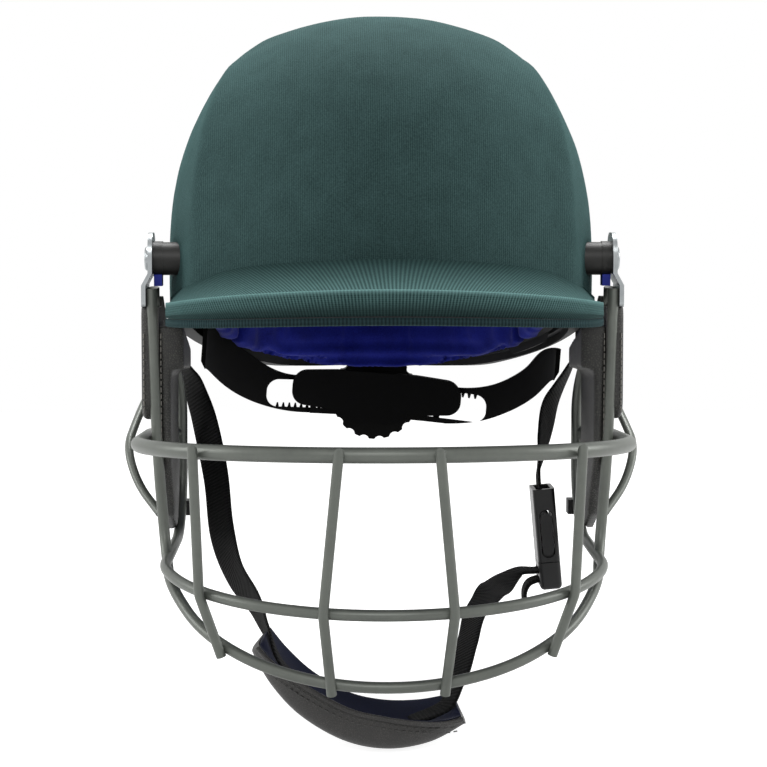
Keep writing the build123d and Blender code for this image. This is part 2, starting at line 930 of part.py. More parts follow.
def rivet_shank(side):
    face = side * strap_thickness / 2
    inner = side * ((shell_half_width - foam_outset) * strap_side_share - strap_side_x)
    shank = rod_x(rivet_shank_radius, min(face, inner), max(face, inner), 0, 0)
    return rivet_place(side) * Rot(rivet_turn, 0, 0) * shank


def make_rivet(side):
    """A rivet that holds a strap to the shell, its head on the strap."""
    face = side * strap_thickness / 2
    top = face + side * rivet_height
    head = rivet_place(side) * rod_x(rivet_radius, min(face, top), max(face, top), 0, 0)
    return head + rivet_shank(side)


def buckle_frame():
    """The buckle's own axes: thickness along x, width along y, strap along z."""
    return Pos(buckle_x, buckle_y, buckle_top) * Rot(0, -buckle_lean, 0)


def window_slot(height, width, low, high):
    """A round-ended prism through the buckle's narrow side, from low to high along y."""
    middle = -(buckle_roof + buckle_length) / 2
    outline = Plane.XZ * SlotOverall(height, width, rotation=90)
    return Pos(0, high, middle) * extrude(outline, amount=high - low)


def make_buckle_body():
    half_t = buckle_thickness / 2
    half_w = buckle_width / 2
    body = span_box(-half_t, half_t, -half_w, half_w, -buckle_length, 0)
    body = fillet(body.edges().filter_by(Axis.Z), buckle_round)
    inner_t = half_t - buckle_wall
    inner_w = half_w - buckle_wall
    cavity = span_box(-inner_t, inner_t, -inner_w, inner_w, -buckle_length - overrun, -buckle_roof)
    window = window_slot(window_height, window_width, -half_w - overrun, half_w + overrun)
    half_pocket = strap_width / 2 + 2 * soft_gap
    pocket = span_box(-inner_t, inner_t, -half_pocket, half_pocket,
                      -buckle_roof + buckle_wall, overrun)
    return buckle_frame() * (body - cavity - window - pocket)


def make_plug():
    """The plug's base below the body, with the guide tongue that fills the body's middle."""
    half_t = buckle_thickness / 2
    half_w = buckle_width / 2
    top = -buckle_length - plug_gap
    base = span_box(-half_t, half_t, -half_w, half_w, top - plug_length, top)
    base = fillet(base.edges().filter_by(Axis.Z), buckle_round)
    base = fillet(base.edges().group_by(Axis.Z)[0], buckle_round)
    tongue = span_box(-prong_thickness / 2, prong_thickness / 2, -guide_width / 2,
                      guide_width / 2, top, top + prong_length)
    for level in (1, 2):
        z = top - plug_length * level / 3
        base = base - span_box(-far, far, -strap_width / 2 - soft_gap, strap_width / 2 + soft_gap,
                               z - slot_height / 2, z + slot_height / 2)
    return buckle_frame() * (base + tongue)


def make_prong(side):
    """A sprung arm with its push button in the window; side is -1 in front and 1 behind."""
    half_w = buckle_width / 2
    outer = half_w - buckle_wall - soft_gap
    inner = outer - prong_width
    low = -buckle_length
    arm = span_box(-prong_thickness / 2, prong_thickness / 2, inner, outer, low,
                   low + prong_length)
    button = window_slot(button_height, button_width, inner, half_w + prong_proud)
    prong = arm + button
    if side < 0:
        prong = mirror(prong, about=Plane.XZ)
    return buckle_frame() * prong


def cup_section(index, low, high):
    """A trough seen along the cup: a front wall, a floor and a low rear edge."""
    x_share, y_share, z_share, tilt, size_share = cup_shares[index]
    point = (x_share * cup_reach, y_share * shell_front, z_share * strap_drop)
    half = cup_half_depth * size_share
    wall = cup_wall * size_share
    rear = cup_rear_rise * size_share
    slope = math.radians(tilt)
    along = (-math.cos(slope), 0, math.sin(slope))
    frame = Plane(origin=point, x_dir=(0, -1, 0), z_dir=along)
    outline = [
        (half + low / 3, wall),
        (half * 3 / 4, -low),
        (-half / 4, -low),
        (-half, rear - low / 2),
        (-half, rear + high),
        (-half / 4, high),
        (half * 3 / 4 - high, high),
        (half - high, wall),
    ]
    return frame * polygon(outline)


def cup_loft(low, high):
    return loft([cup_section(index, low, high) for index in range(len(cup_shares))])


def cup_piping():
    """A round cord sewn along the top of the cup's front wall."""
    out = cup_thickness / 3 + piping_radius + soft_gap
    points = []
    for x_share, y_share, z_share, tilt, size_share in cup_shares:
        slope = math.radians(tilt)
        wall = cup_wall * size_share - piping_radius / 2
        points.append((
            x_share * cup_reach + wall * math.sin(slope),
            y_share * shell_front - cup_half_depth * size_share - out,
            z_share * strap_drop + wall * math.cos(slope)))
    path = Spline(*points)
    start = Plane(origin=path @ 0, z_dir=path % 0)
    return sweep(start * Circle(piping_radius), path=path)


# Rear cradle, made level and then leant to one side

def cradle_place(shape):
    middle = (0, 0, cradle_middle)
    return Pos(*middle) * Rot(0, cradle_tilt, 0) * Pos(0, 0, -cradle_middle) * shape


def cradle_ring(outer_radius, inner_radius):
    """An upright round ring about the cradle's centre."""
    ring = Circle(outer_radius) - Circle(inner_radius)
    return Pos(0, cradle_centre_y, 0) * extrude(ring, amount=far, both=True)


def behind(shape, y_low):
    return shape & span_box(-far, far, y_low, far, -far, far)


pitch_radius = tooth_pitch * pinion_teeth / (2 * math.pi)
rack_root = pitch_radius + tooth_height * 0.54
rack_tip = pitch_radius - tooth_height * 0.4


def rack_teeth(sense, x_low, x_high):
    """Teeth of one rack; sense is 1 for teeth that point up from the lower rail."""
    teeth = []
    count = int(x_high / tooth_pitch) - 1
    first = int(x_low / tooth_pitch) + 1
    for index in range(first, count):
        x = (index + 1 / 2) * tooth_pitch
        root = cradle_middle - sense * (rack_root + overrun / 40)
        tip = cradle_middle - sense * rack_tip
        teeth.append(front_prism([
            (x - tooth_pitch * 0.33, root), (x - tooth_pitch * 0.11, tip),
            (x + tooth_pitch * 0.11, tip), (x + tooth_pitch * 0.33, root)],
            cradle_centre_y, far))
    return teeth


def band_blank(side):
    """The band's outline as seen from the front, cut through front to back."""
    half = band_height / 2
    low_shares = right_low_shares if side > 0 else left_low_shares
    top_shares = right_top_shares if side > 0 else left_top_shares
    low = [(side * x * cradle_radius, cradle_middle + z * band_height) for x, z in low_shares]
    top = [(side * x * cradle_radius, cradle_middle + z * band_height) for x, z in top_shares]
    tongue = Polyline(top[-1], (-side * rack_inner_x, cradle_middle + half),
                      (-side * rack_inner_x, cradle_middle - half), low[0])
    outline = Plane.XZ * make_face([Spline(*low), Line(low[-1], top[0]), Spline(*top), tongue])
    return Pos(0, far, 0) * extrude(outline, amount=far)


def make_band(side):
    """One half of the cradle with its toothed end; side is 1 for +X and -1 for -X."""
    inset = 0 if side < 0 else band_thickness + rack_gap
    outer = cradle_radius - inset
    slot_far = rack_inner_x - rack_rail
    slot_x = sorted((side * slot_outer_x, -side * slot_far))
    slot = front_prism([
        (slot_x[0], cradle_middle - rack_root), (slot_x[1], cradle_middle - rack_root),
        (slot_x[1], cradle_middle + rack_root), (slot_x[0], cradle_middle + rack_root)],
        cradle_centre_y, far)
    outer_end = slot.edges().filter_by(Axis.Y).group_by(Axis.X)[-1 if side > 0 else 0]
    slot = fillet(outer_end, slot_corner_radius)
    for tooth in rack_teeth(-side, slot_x[0], slot_x[1]):
        slot = slot - tooth
    ring = cradle_ring(outer, outer - band_thickness)
    band = behind(ring & band_blank(side), band_end_y) - slot
    return cradle_place(band)


def make_band_slot():
    """The room that the two bands need inside the rim."""
    ring = cradle_ring(cradle_radius + rack_gap,
                       cradle_radius - 2 * band_thickness - 3 * rack_gap)
    room = ring & span_box(-far, far, band_slot_front, band_slot_rear, -far, band_slot_top)
    return cradle_place(room)


def housing_outline():
    """The lobed outline of the dial's housing, as (x, z) from +X round to -X."""
    side = [
        (housing_half_width, housing_lobe_low), (housing_waist_x, housing_waist_low),
        (housing_belly_x, housing_low),
    ]
    top = [(-housing_half_width, housing_lobe_top), (-housing_waist_x, housing_top)]
    return side + [(-x, z) for x, z in reversed(side)] + top + [(-x, z) for x, z in reversed(top)]


def housing_plate(outer_radius, inner_radius):
    outline = Plane.XZ * polygon(housing_outline())
    block = Pos(0, far, cradle_middle) * extrude(outline, amount=far)
    near_end = housing_half_width * 0.9
    ends = block.edges().filter_by(Axis.Y).filter_by(lambda edge: abs(edge.center().X) > near_end)
    block = fillet(ends, housing_end_radius)
    waist = block.edges().filter_by(Axis.Y).filter_by(
        lambda edge: abs(edge.center().X) < housing_half_width * 0.6)
    block = fillet(waist, housing_waist_radius)
    return block & cradle_ring(outer_radius, inner_radius)


def make_housing():
    """The back plate with its two walls, and the front plate on the wearer's side."""
    room_outer = cradle_radius + rack_gap
    room_inner = cradle_radius - 2 * band_thickness - 2 * rack_gap
    back = housing_plate(room_outer + housing_wall, room_outer)
    front = housing_plate(room_inner, room_inner - housing_wall)
    bore = rod_y(shaft_radius + hinge_clearance, 0, far, 0, cradle_middle)
    wall_low = band_height / 2 + rack_gap
    wall_high = -housing_low - rack_gap
    wall_half = housing_belly_x * 0.7
    walls = []
    for sense in (1, -1):
        ends = sorted((sense * wall_low, sense * wall_high))
        block = span_box(-wall_half, wall_half, 0, far, cradle_middle + ends[0],
                         cradle_middle + ends[1])
        walls.append(block & cradle_ring(room_outer, room_inner))
    back = back - bore + walls[0] + walls[1]
    return cradle_place(back), cradle_place(front)


def make_pinion():
    """The small gear between the two racks, on its shaft."""
    low = cradle_centre_y + cradle_radius - 2 * band_thickness - 2 * rack_gap
    high = cradle_centre_y + cradle_radius - rack_gap
    hub = rod_y(pitch_radius - tooth_height * 0.52, low + rack_gap, high, 0, cradle_middle)
    tip = pitch_radius + tooth_height * 0.38
    root = pitch_radius - tooth_height * 0.55
    tooth = front_prism([
        (-tooth_pitch * 0.3, root), (tooth_pitch * 0.3, root),
        (tooth_pitch * 0.1, tip), (-tooth_pitch * 0.1, tip)], low + rack_gap, high)
    for index in range(pinion_teeth):
        hub = hub + Pos(0, 0, cradle_middle) * Rot(0, 360 / pinion_teeth * index, 0) * tooth
    shaft_end = cradle_centre_y + cradle_radius + rack_gap + housing_wall + knob_gap
    return cradle_place(hub + rod_y(shaft_radius, high, shaft_end, 0, cradle_middle))


def make_knob():
    """The scalloped dial behind the housing."""
    face = cradle_centre_y + cradle_radius + rack_gap + housing_wall + knob_gap + knob_hub_length
    dial = rod_y(knob_radius, face, face + knob_height, 0, cradle_middle)
    for index in range(knob_lobes):
        angle = 2 * math.pi * index / knob_lobes
        x = (knob_radius + knob_lobe_radius / 2) * math.cos(angle)
        z = (knob_radius + knob_lobe_radius / 2) * math.sin(angle)
        dial = dial - rod_y(knob_lobe_radius, 0, far, x, cradle_middle + z)
    dish = rod_y(knob_cap_radius, face + knob_height * 0.75, far, 0, cradle_middle)
    hub = rod_y(knob_hub_radius, face - knob_hub_length, face, 0, cradle_middle)
    return cradle_place(dial - dish + hub)


# Hand-in folder

os.makedirs("parts", exist_ok=True)


def save(shape, name):
    export_step(shape, f"parts/{name}.step")


def save_group(shapes, name):
    export_step(Compound(children=list(shapes)), f"parts/{name}.step")


def save_pair(shape, name):
    """Save a +X piece as the right one and its mirror image as the left one."""
    save(shape, name + "_right")
    save(other_side(shape), name + "_left")


nut = make_nut()
nuts = [nut, other_side(nut)]
bolt = make_bolt()
bolts = [bolt, other_side(bolt)]
rivets = [make_rivet(1), make_rivet(-1)]
band_slot = make_band_slot()


def drilled(shape):
    """The same piece with room for the bolts, nuts and rivets."""
    for piece in bolts + nuts + rivets:
        shape = shape - piece
    return shape


save(drilled(make_dome_cover()), "dome_cover")
save(drilled(make_outer_shell()), "outer_shell")
save(drilled(make_foam_liner()) - band_slot, "foam_liner")
save(make_rim_trim() - band_slot, "rim_trim")
save(make_rear_pad(), "pad_rear")
save_pair(other_side(make_side_pad()), "pad")
save(make_brow_pad(), "pad_brow")
save(make_crown_pad(), "pad_crown")

core, peak_cover, binding = make_peak_parts()
save(core, "peak_core")
save(peak_cover, "peak_cover")
save(binding, "peak_binding")

save_pair(make_inner_spacer(), "inner_spacer")
save_pair(make_outer_spacer(), "outer_spacer")
save_pair(make_bumper(), "bumper")
save_group(bolts, "temple_bolts")
save_group(nuts, "temple_nuts")
save_group(rivets, "strap_rivets")

lower_bar = make_lower_bar()
mid_bar = make_mid_bar()
top_bar = make_top_bar() - lower_bar - mid_bar
mid_bar = mid_bar - lower_bar
bars = [lower_bar, mid_bar, top_bar]
save(lower_bar, "lower_bar")
save(mid_bar, "mid_bar")
save(top_bar, "top_bar")
inner_upright = make_upright(inner_upright_x, bars)
outer_upright = make_upright(outer_upright_x, bars)
save_pair(inner_upright, "upright_inner")
save_pair(outer_upright, "upright_outer")
save_pair(make_side_plate(), "side_plate")
ear_loop = make_ear_loop(bars)
save_pair(ear_loop, "ear_loop")
guard_pad = make_guard_pad(bars + [ear_loop])
save_pair(make_guard_shell(bars + [ear_loop]), "guard_shell")
save_pair(guard_pad, "guard_pad")
save_pair(make_guard_tie(guard_pad, mid_bar), "guard_tie")

cup_lining = cup_loft(0, cup_lining_thickness)
cup_outer = cup_loft(cup_thickness, 0) - cup_lining
save(cup_outer, "chin_cup")
save(cup_lining, "chin_lining")
save(cup_piping(), "chin_piping")
whole_cup = cup_outer + cup_lining
save(make_strap_left(whole_cup), "strap_left")
save(make_strap_upper(), "strap_right")
save(make_strap_lower(whole_cup), "strap_lower")
save(make_strap_end(), "strap_end")
save(make_buckle_body(), "buckle_body")
save(make_plug(), "buckle_plug")
save(make_prong(-1), "prong_front")
save(make_prong(1), "prong_rear")

save(make_band(-1), "band_left")
save(make_band(1), "band_right")
housing_back, housing_front = make_housing()
save(housing_back, "housing_back")
save(housing_front, "housing_front")
save(make_pinion(), "pinion")
save(make_knob(), "knob")
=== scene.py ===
import math

import bpy
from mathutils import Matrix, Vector, kdtree, noise


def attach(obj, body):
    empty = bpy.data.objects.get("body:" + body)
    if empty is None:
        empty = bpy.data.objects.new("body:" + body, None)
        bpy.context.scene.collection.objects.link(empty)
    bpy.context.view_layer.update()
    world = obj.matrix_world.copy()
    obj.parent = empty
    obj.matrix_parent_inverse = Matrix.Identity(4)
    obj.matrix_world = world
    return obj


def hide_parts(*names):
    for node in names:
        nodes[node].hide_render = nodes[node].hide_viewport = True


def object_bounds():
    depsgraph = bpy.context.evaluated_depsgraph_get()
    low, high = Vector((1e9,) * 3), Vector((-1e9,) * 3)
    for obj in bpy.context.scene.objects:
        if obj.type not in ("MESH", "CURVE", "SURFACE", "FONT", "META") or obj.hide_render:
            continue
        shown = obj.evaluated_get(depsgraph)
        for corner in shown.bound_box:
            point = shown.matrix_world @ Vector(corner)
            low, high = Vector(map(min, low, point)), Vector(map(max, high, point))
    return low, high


# A cricket helmet seen from the front. Sizes are in millimetres; mm() turns them to metres.
# The face looks along -Y, +X is the side with the buckle, and +Z is up.

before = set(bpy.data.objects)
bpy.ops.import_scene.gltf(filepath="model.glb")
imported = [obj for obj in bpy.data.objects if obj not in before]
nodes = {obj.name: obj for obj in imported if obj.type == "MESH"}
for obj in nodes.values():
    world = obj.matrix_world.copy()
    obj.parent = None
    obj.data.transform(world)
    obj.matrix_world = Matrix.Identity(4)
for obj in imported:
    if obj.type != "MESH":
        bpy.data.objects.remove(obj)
cad_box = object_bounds()

# Shell
shell_half_width = 100.0
shell_front = 112.0
shell_rear = 130.0
crown_height = 138.5
widest_height = 20.0
dome_exponent = 2.4
rim_front = 4.0
rim_rear = -33.8
rim_front_y = -20.0
rim_rear_y = 110.0
trim_height = 4.0
ridge_foot_x = 83.0
ridge_drift = 20.5
ridge_top = 126.0
ridge_rise = 3.4
ridge_reach = 28.0
ridge_round = 1.5
ridge_fade = 0.45
ridge_low = -30.0
ridge_bend = 4

# Stretched cloth: its gap over the peak, how its ribs spread up the dome's sides, how far up it faces
# near the crown, and the share of the way up where it closes
cloth_gap = 0.4
side_spread = 0.5
up_share = 1.6
crown_share = 0.996

# Its small waves: how far they rise, and their noise's scale in each millimetre
slack_rise = 0.25
slack_scale = 0.045
pucker_rise = 0.08
pucker_scale = 0.16

# Peak
peak_half_width = 98.5
peak_tip = 157.0
peak_corner_y = 60.0
peak_exponent = 2.3
crease_height = 28.0
crease_fall = 10.0
crease_drop = 11.0
fold_height = 15.4
fold_fall = 7.0
fold_drop = 2.0
end_power = 8
lip_height = 1.4
lip_fall = 4.0
fold_round = 5.0
fold_bead = 0.7
root_lap = 1.0
top_sag = 1.2
top_settle = top_sag / 4
peak_end_share = 0.985
peak_rear_y = -46.0
rib_lean = 0.34
fold_run = math.hypot(peak_tip - fold_round - shell_front, crease_height - fold_height) + fold_round
# Painted highlight along the fold, and painted shade in the crease by the dome and at the seam under the
# fold: their reaches and shares
painted_fold_light_reach = 2.4
painted_fold_light_share = 0.45
seam_run = fold_run + 9.0
seam_reach = 5.0
crease_reach = fold_run * 0.8
painted_shade_share = 0.75
binding_height = 3.6
binding_depth = 6.0

# The cloth's line round the fold, behind the lip and above the fold
fold_line = (
    (fold_round * 0.55, fold_bead),
    (fold_round * 0.2, fold_bead * 0.2),
    (-0.1, -fold_round * 0.5),
    (-0.3, -fold_round),
)

# Its tuck above the binding, behind the lip and above the binding's top
tuck_line = ((0.3, 1.4), (1.6, -0.2))

# The binding's roll, behind the lip and above the lip's foot
binding_roll = (
    (2.2, binding_height - 0.4),
    (0.6, binding_height - 0.7),
    (-0.4, binding_height * 0.6),
    (-0.2, binding_height * 0.25),
    (1.2, -0.1),
    (binding_depth, -0.4),
    (binding_depth, binding_height / 2),
)

# How finely pieces are laid out: rows, columns, lines, and steps from one point to the next
dome_columns = 240
dome_rows = 74
skirt_rows = 14
ridge_steps = 90
peak_lines = 121
top_points = 5
peak_steps = 6
binding_steps = 4
strap_steps = 8
cup_steps = 8

# Ear guards' stitching
guard_seam_x = 101.6
guard_edge_x = 109.4
guard_front_y = -46.2
guard_stitch_top = -8.0
guard_seam_low = -62.0
guard_edge_low = -44.0
stitch_length = 2.2
stitch_pitch = stitch_length * 1.4
stitch_radius = 0.3

# Rear pad's panel, seen from the front, and the channels pressed round it. They are pressed
# where the y of the pad's normal is below front_facing.
panel_x = 3.0
panel_half_width = 61.0
panel_low = -30.0
panel_corner = 13.0
channel_depth = 2.4
channel_half_width = 2.6
channel_gap = 8.5
faint_share = 0.6
front_facing = -0.1

# Pads: voxels in millimetres, turns of smoothing and the share that each moves, the air that
# fills them and for how many frames, and how far each may swell. The side pads swell less,
# because the cradle's bands slide past them.
pad_voxel = 3.0
pad_turns = 6
guard_voxel = 1.6
guard_turns = 5
smooth_share = 0.5
filling_pressure = 4.0
filling_frames = 20
swells = {"pad_rear": 3.0, "pad_left": 0.6, "pad_right": 0.6, "pad_brow": 3.0, "pad_crown": 3.0}

# Webbing: its width, thickness and drop, its flat start on the shell, and its rounded edges.
# Its routes are shares of the shell's half width, the shell's front and the drop, with the way
# that the width lies.
strap_width = 16.0
strap_thickness = 1.6
strap_drop = 150.0
end_thickness = 2.0
anchor_y = 30.0
anchor_reach = 14.0
anchor_proud = 0.6
selvedge_steps = 16
selvedge_power = 8
selvedge_share = 0.35
strap_left_shares = (
    (-0.965, 0.277, -0.15, (-0.1, 1, 0)),
    (-0.94, 0.286, -0.2, (-0.4, 0.92, 0)),
    (-0.906, 0.268, -0.26, (-0.65, 0.76, 0)),
    (-0.852, 0.214, -0.367, (-0.73, 0.68, 0)),
    (-0.793, 0.089, -0.533, (-0.73, 0.65, -0.2)),
    (-0.759, -0.054, -0.693, (-0.7, 0.68, -0.25)),
    (-0.69, -0.232, -0.807, (-0.45, 0.85, -0.25)),
    (-0.591, -0.446, -0.877, (-0.3, 0.92, -0.2)),
    (-0.52, -0.643, -0.947, (-0.15, 0.97, -0.1)),
    (-0.455, -0.777, -1.021, (0, 1, 0)),
    (-0.339, -0.8125, -1.103, (0, 1, 0)),
)
strap_right_shares = (
    (0.965, 0.277, -0.15, (0.1, 1, 0)),
    (0.93, 0.277, -0.2, (0.3, 0.95, 0)),
    (0.842, 0.232, -0.307, (0.5, 0.86, 0)),
    (0.785, 0.1, -0.42, (0.35, 0.93, 0)),
    (0.755, -0.009, -0.507, (0.05, 1, 0)),
    (0.76, -0.018, -0.577, (0, 1, 0)),
)
strap_lower_shares = (
    (0.793, -0.018, -0.824, (0, 1, 0)),
    (0.735, -0.018, -0.829, (0, 1, 0)),
    (0.67, -0.02, -0.83, (0, 1, 0.05)),
    (0.61, -0.05, -0.843, (0, 0.98, 0.12)),
    (0.56, -0.14, -0.858, (0, 0.98, 0.15)),
    (0.493, -0.31, -0.878, (-0.05, 0.98, 0.15)),
    (0.419, -0.482, -0.92, (-0.15, 0.97, 0.12)),
    (0.369, -0.625, -0.993, (-0.3, 0.95, 0.1)),
    (0.325, -0.732, -1.07, (-0.25, 0.95, 0.2)),
    (0.262, -0.799, -1.146, (-0.1, 0.98, 0.12)),
    (0.108, -0.83, -1.182, (0, 1, 0)),
)
strap_end_shares = (
    (0.798, -0.018, -0.853, (0, 1, 0)),
    (0.75, -0.018, -0.857, (0, 1, 0)),
    (0.71, -0.018, -0.869, (0, 1, 0)),
    (0.69, -0.018, -0.895, (0, 1, 0)),
    (0.69, -0.018, -0.93, (0, 1, 0)),
)

# Chin cup: stations from the +X end, as shares of its reach, the shell's front and the
# strap's drop, with the slope in degrees and a share of the full section
cup_reach = 56.0
cup_half_depth = 24.0
cup_wall = 12.0
cup_end_share = 0.6
cup_rear_rise = 8.5
cup_thickness = 5.0
cup_lining = 2.5
piping_radius = 1.1
piping_gap = 0.1
piping_drop = 0.5
cup_stitch_drops = (3.0, 5.2)
cup_stitch_lean = 0.12
cup_stitch_proud = 0.15
cup_stitch_steps = 12
cup_stitch_spare = 4
cup_shares = (
    (0.59, -0.804, -1.157, -28.0, 0.62),
    (0.32, -0.83, -1.2, -20.0, 0.88),
    (0.0, -0.848, -1.213, -6.0, 1.0),
    (-0.32, -0.839, -1.19, 10.0, 1.0),
    (-0.64, -0.813, -1.123, 24.0, 0.96),
    (-0.86, -0.777, -1.04, 36.0, 0.84),
    (-1.0, -0.741, -0.953, 48.0, 0.62),
)

# Camera: where it stands, how far it looks down and turns to its left, in degrees, and its lens
camera_place = (-26.6, -1150.0, 52.0)
camera_down = 4.298
camera_turn = -1.391
camera_sensor = 36.0
camera_lens = 113.35

# Lamps, in metres and watts: name, place, aim, width and power
lamps = (
    ("overhead softbox", (0.05, 0.6, 1.4), (0, 0, 0.05), 0.9, 24.0),
    ("left softbox", (-1.45, -0.05, 0.5), (0, 0, 0), 0.8, 10.5),
    ("right softbox", (1.45, 0.0, 0.5), (0, 0, 0), 0.8, 11.5),
    ("front softbox", (-0.1, -1.7, 0.9), (0, 0, 0), 0.8, 11.0),
)
soft_light = 0.12

# Floor: its half side in metres, beyond which the lamps no longer keep it white, its depth below
# the object, its paint as it is seen and as it throws light back, and its glow where it is seen
floor_reach = 1.6
floor_drop = 0.5
seen_paint = 0.5
plain_paint = 0.6
floor_glow = 0.88


# Small helpers

def mm(length):
    return length * 0.001


def linear(code):
    """An sRGB hex colour as linear RGBA."""
    parts = [int(code[place:place + 2], 16) / 255 for place in (1, 3, 5)]
    tones = [part / 12.92 if part <= 0.04045 else ((part + 0.055) / 1.055) ** 2.4 for part in parts]
    return (*tones, 1.0)


def add(tree, kind, inputs=None, **settings):
    """Add a shader node; each input is a value, or a node or socket to link."""
    node = tree.nodes.new("ShaderNode" + kind)
    for name, value in settings.items():
        setattr(node, name, value)
    for name, value in (inputs or {}).items():
        if isinstance(value, bpy.types.Node):
            value = value.outputs[0]
        if isinstance(value, bpy.types.NodeSocket):
            tree.links.new(value, node.inputs[name])
        else:
            node.inputs[name].default_value = value
    return node


def start_material(name, **shader_values):
    """A new material with its shader; returns the material, its tree and the shader."""
    material = bpy.data.materials.new(name)
    material.use_nodes = True
    tree = material.node_tree
    shader = tree.nodes["Principled BSDF"]
    for key, value in shader_values.items():
        shader.inputs[key.replace("_", " ")].default_value = value
    return material, tree, shader


def cover(tree, shader, colour, layers):
    """Give the shader its colour, and relief in layers of a pattern and a depth in millimetres."""
    tree.links.new(colour.outputs[0], shader.inputs["Base Color"])
    below = {}
    for pattern, depth in layers:
        relief = add(tree, "Bump", {"Height": pattern, "Strength": 0.6, "Distance": mm(depth), **below})
        below = {"Normal": relief}
    tree.links.new(relief.outputs[0], shader.inputs["Normal"])


def grain(size):
    """The scale of a noise or cell texture whose features are a size across, in millimetres."""
    return 1 / mm(size)


def ribs(spacing):
    """The scale of a wave texture whose ribs are a spacing apart, in millimetres."""
    return math.pi / 10 / mm(spacing)


# Materials

def painted_fold_light(tree, flat, colour):
    """The peak's cloth gets a painted highlight along its fold, and painted shade in the crease by the
    dome and at the seam under the fold.
    """
    across = add(tree, "SeparateXYZ", {0: flat}).outputs["Y"]
    off = add(tree, "Math", {0: across, 1: mm(fold_run)}, operation="SUBTRACT")
    gap = add(tree, "Math", {0: off}, operation="ABSOLUTE")
    painted_highlight = add(tree, "MapRange", {"Value": gap, "From Max": mm(painted_fold_light_reach),
                                    "To Min": painted_fold_light_share, "To Max": 0.0})
    # Painted highlight: the cloth is drawn paler along the fold, where light catches its edge
    highlighted_colour = add(tree, "MixRGB", {"Fac": painted_highlight, "Color1": colour, "Color2": linear("#86b4b2")})
    # Painted shade: darker in the crease by the dome and at the seam under the fold
    deep = add(tree, "MapRange", {"Value": across, "From Max": mm(crease_reach), "To Min": painted_shade_share,
                                  "To Max": 0.0})
    seam = add(tree, "MapRange", {"Value": across, "From Min": mm(seam_run - seam_reach),
                                  "From Max": mm(seam_run), "To Max": painted_shade_share})
    painted_shade = add(tree, "Math", {0: deep, 1: seam}, operation="MAXIMUM")
    return add(tree, "MixRGB", {"Fac": painted_shade, "Color1": highlighted_colour, "Color2": linear("#172424")})


def make_knit(name, dark, light, wale, course, rib_share=1.0, folded=False):
    """Knitted polyester: ribs of loops shade their own sides, and mixed yarns make it heathered.

    The yarn is about 0.3 mm thick, and is drawn coarser so that it shows.
    """
    yarn_size = 0.8
    patch_size = 11.0
    course_share = 0.3
    patch_share = 0.25
    darkest = 0.36 + 0.25 * rib_share
    lightest = 0.89 + 1.05 * rib_share
    material, tree, shader = start_material(name, Roughness=0.9, Sheen_Weight=0.12, Sheen_Roughness=0.5,
                                            Sheen_Tint=linear("#6fb0ae"), Specular_IOR_Level=0.1)
    place = add(tree, "TexCoord").outputs["Object"]
    flat = add(tree, "TexCoord").outputs["UV"]
    wales = add(tree, "TexWave", {"Vector": flat, "Scale": ribs(wale)}, bands_direction="X")
    courses = add(tree, "TexWave", {"Vector": flat, "Scale": ribs(course)}, bands_direction="Y")
    yarn = add(tree, "TexNoise", {"Vector": place, "Scale": grain(yarn_size), "Detail": 4.0,
                                  "Roughness": 0.75})
    patches = add(tree, "TexNoise", {"Vector": place, "Scale": grain(patch_size), "Detail": 3.0})
    loops = add(tree, "Math", {0: courses, 1: course_share, 2: wales}, operation="MULTIPLY_ADD")
    heather = add(tree, "Math", {0: patches, 1: patch_share, 2: yarn}, operation="MULTIPLY_ADD")
    shade = add(tree, "Math", {0: loops, 1: rib_share, 2: heather}, operation="MULTIPLY_ADD")
    even = add(tree, "MapRange", {"Value": shade, "From Min": darkest, "From Max": lightest})
    colour = add(tree, "MixRGB", {"Fac": even, "Color1": linear(dark), "Color2": linear(light)})
    # The peak's cloth gets a painted highlight on its fold and painted shade in its crease and at its seam
    if folded:
        colour = painted_fold_light(tree, flat, colour)
    cover(tree, shader, colour, [(loops, 0.3 * rib_share), (yarn, 0.2)])
    return material


def make_moulded(name, dark, light, roughness, grit_size=0.5, shine=0.3):
    """Plastic or rubber from a tool: the tool's fine even grain, and faint handling marks.

    The grain is about 0.1 to 0.2 mm, and is drawn coarser so that it shows.
    """
    mark_size = 16.0
    material, tree, shader = start_material(name, IOR=1.5, Specular_IOR_Level=shine)
    place = add(tree, "TexCoord").outputs["Object"]
    grit = add(tree, "TexNoise", {"Vector": place, "Scale": grain(grit_size), "Detail": 3.0,
                                  "Roughness": 0.6})
    marks = add(tree, "TexNoise", {"Vector": place, "Scale": grain(mark_size), "Detail": 4.0,
                                   "Roughness": 0.6})
    rough = add(tree, "MapRange", {"Value": marks, "To Min": roughness - 0.06, "To Max": roughness + 0.08})
    tree.links.new(rough.outputs[0], shader.inputs["Roughness"])
    colour = add(tree, "MixRGB", {"Fac": marks, "Color1": linear(dark), "Color2": linear(light)})
    cover(tree, shader, colour, [(grit, 0.06)])
    return material


def make_grained(name, dark, light, cell_size, depth, roughness):
    """Embossed skin or closed foam: small raised cells catch light, with darker creases between."""
    patch_size = 9.0
    material, tree, shader = start_material(name, Roughness=roughness, IOR=1.5)
    place = add(tree, "TexCoord").outputs["Object"]
    cells = add(tree, "TexVoronoi", {"Vector": place, "Scale": grain(cell_size)},
                feature="DISTANCE_TO_EDGE")
    crease = add(tree, "MapRange", {"Value": cells, "From Max": 0.3})
    patches = add(tree, "TexNoise", {"Vector": place, "Scale": grain(patch_size), "Detail": 3.0})
    mixed = add(tree, "Math", {0: crease, 1: patches}, operation="MULTIPLY")
    even = add(tree, "MapRange", {"Value": mixed, "From Min": 0.1, "From Max": 0.65})
    colour = add(tree, "MixRGB", {"Fac": even, "Color1": linear(dark), "Color2": linear(light)})
    cover(tree, shader, colour, [(crease, depth)])
    return material


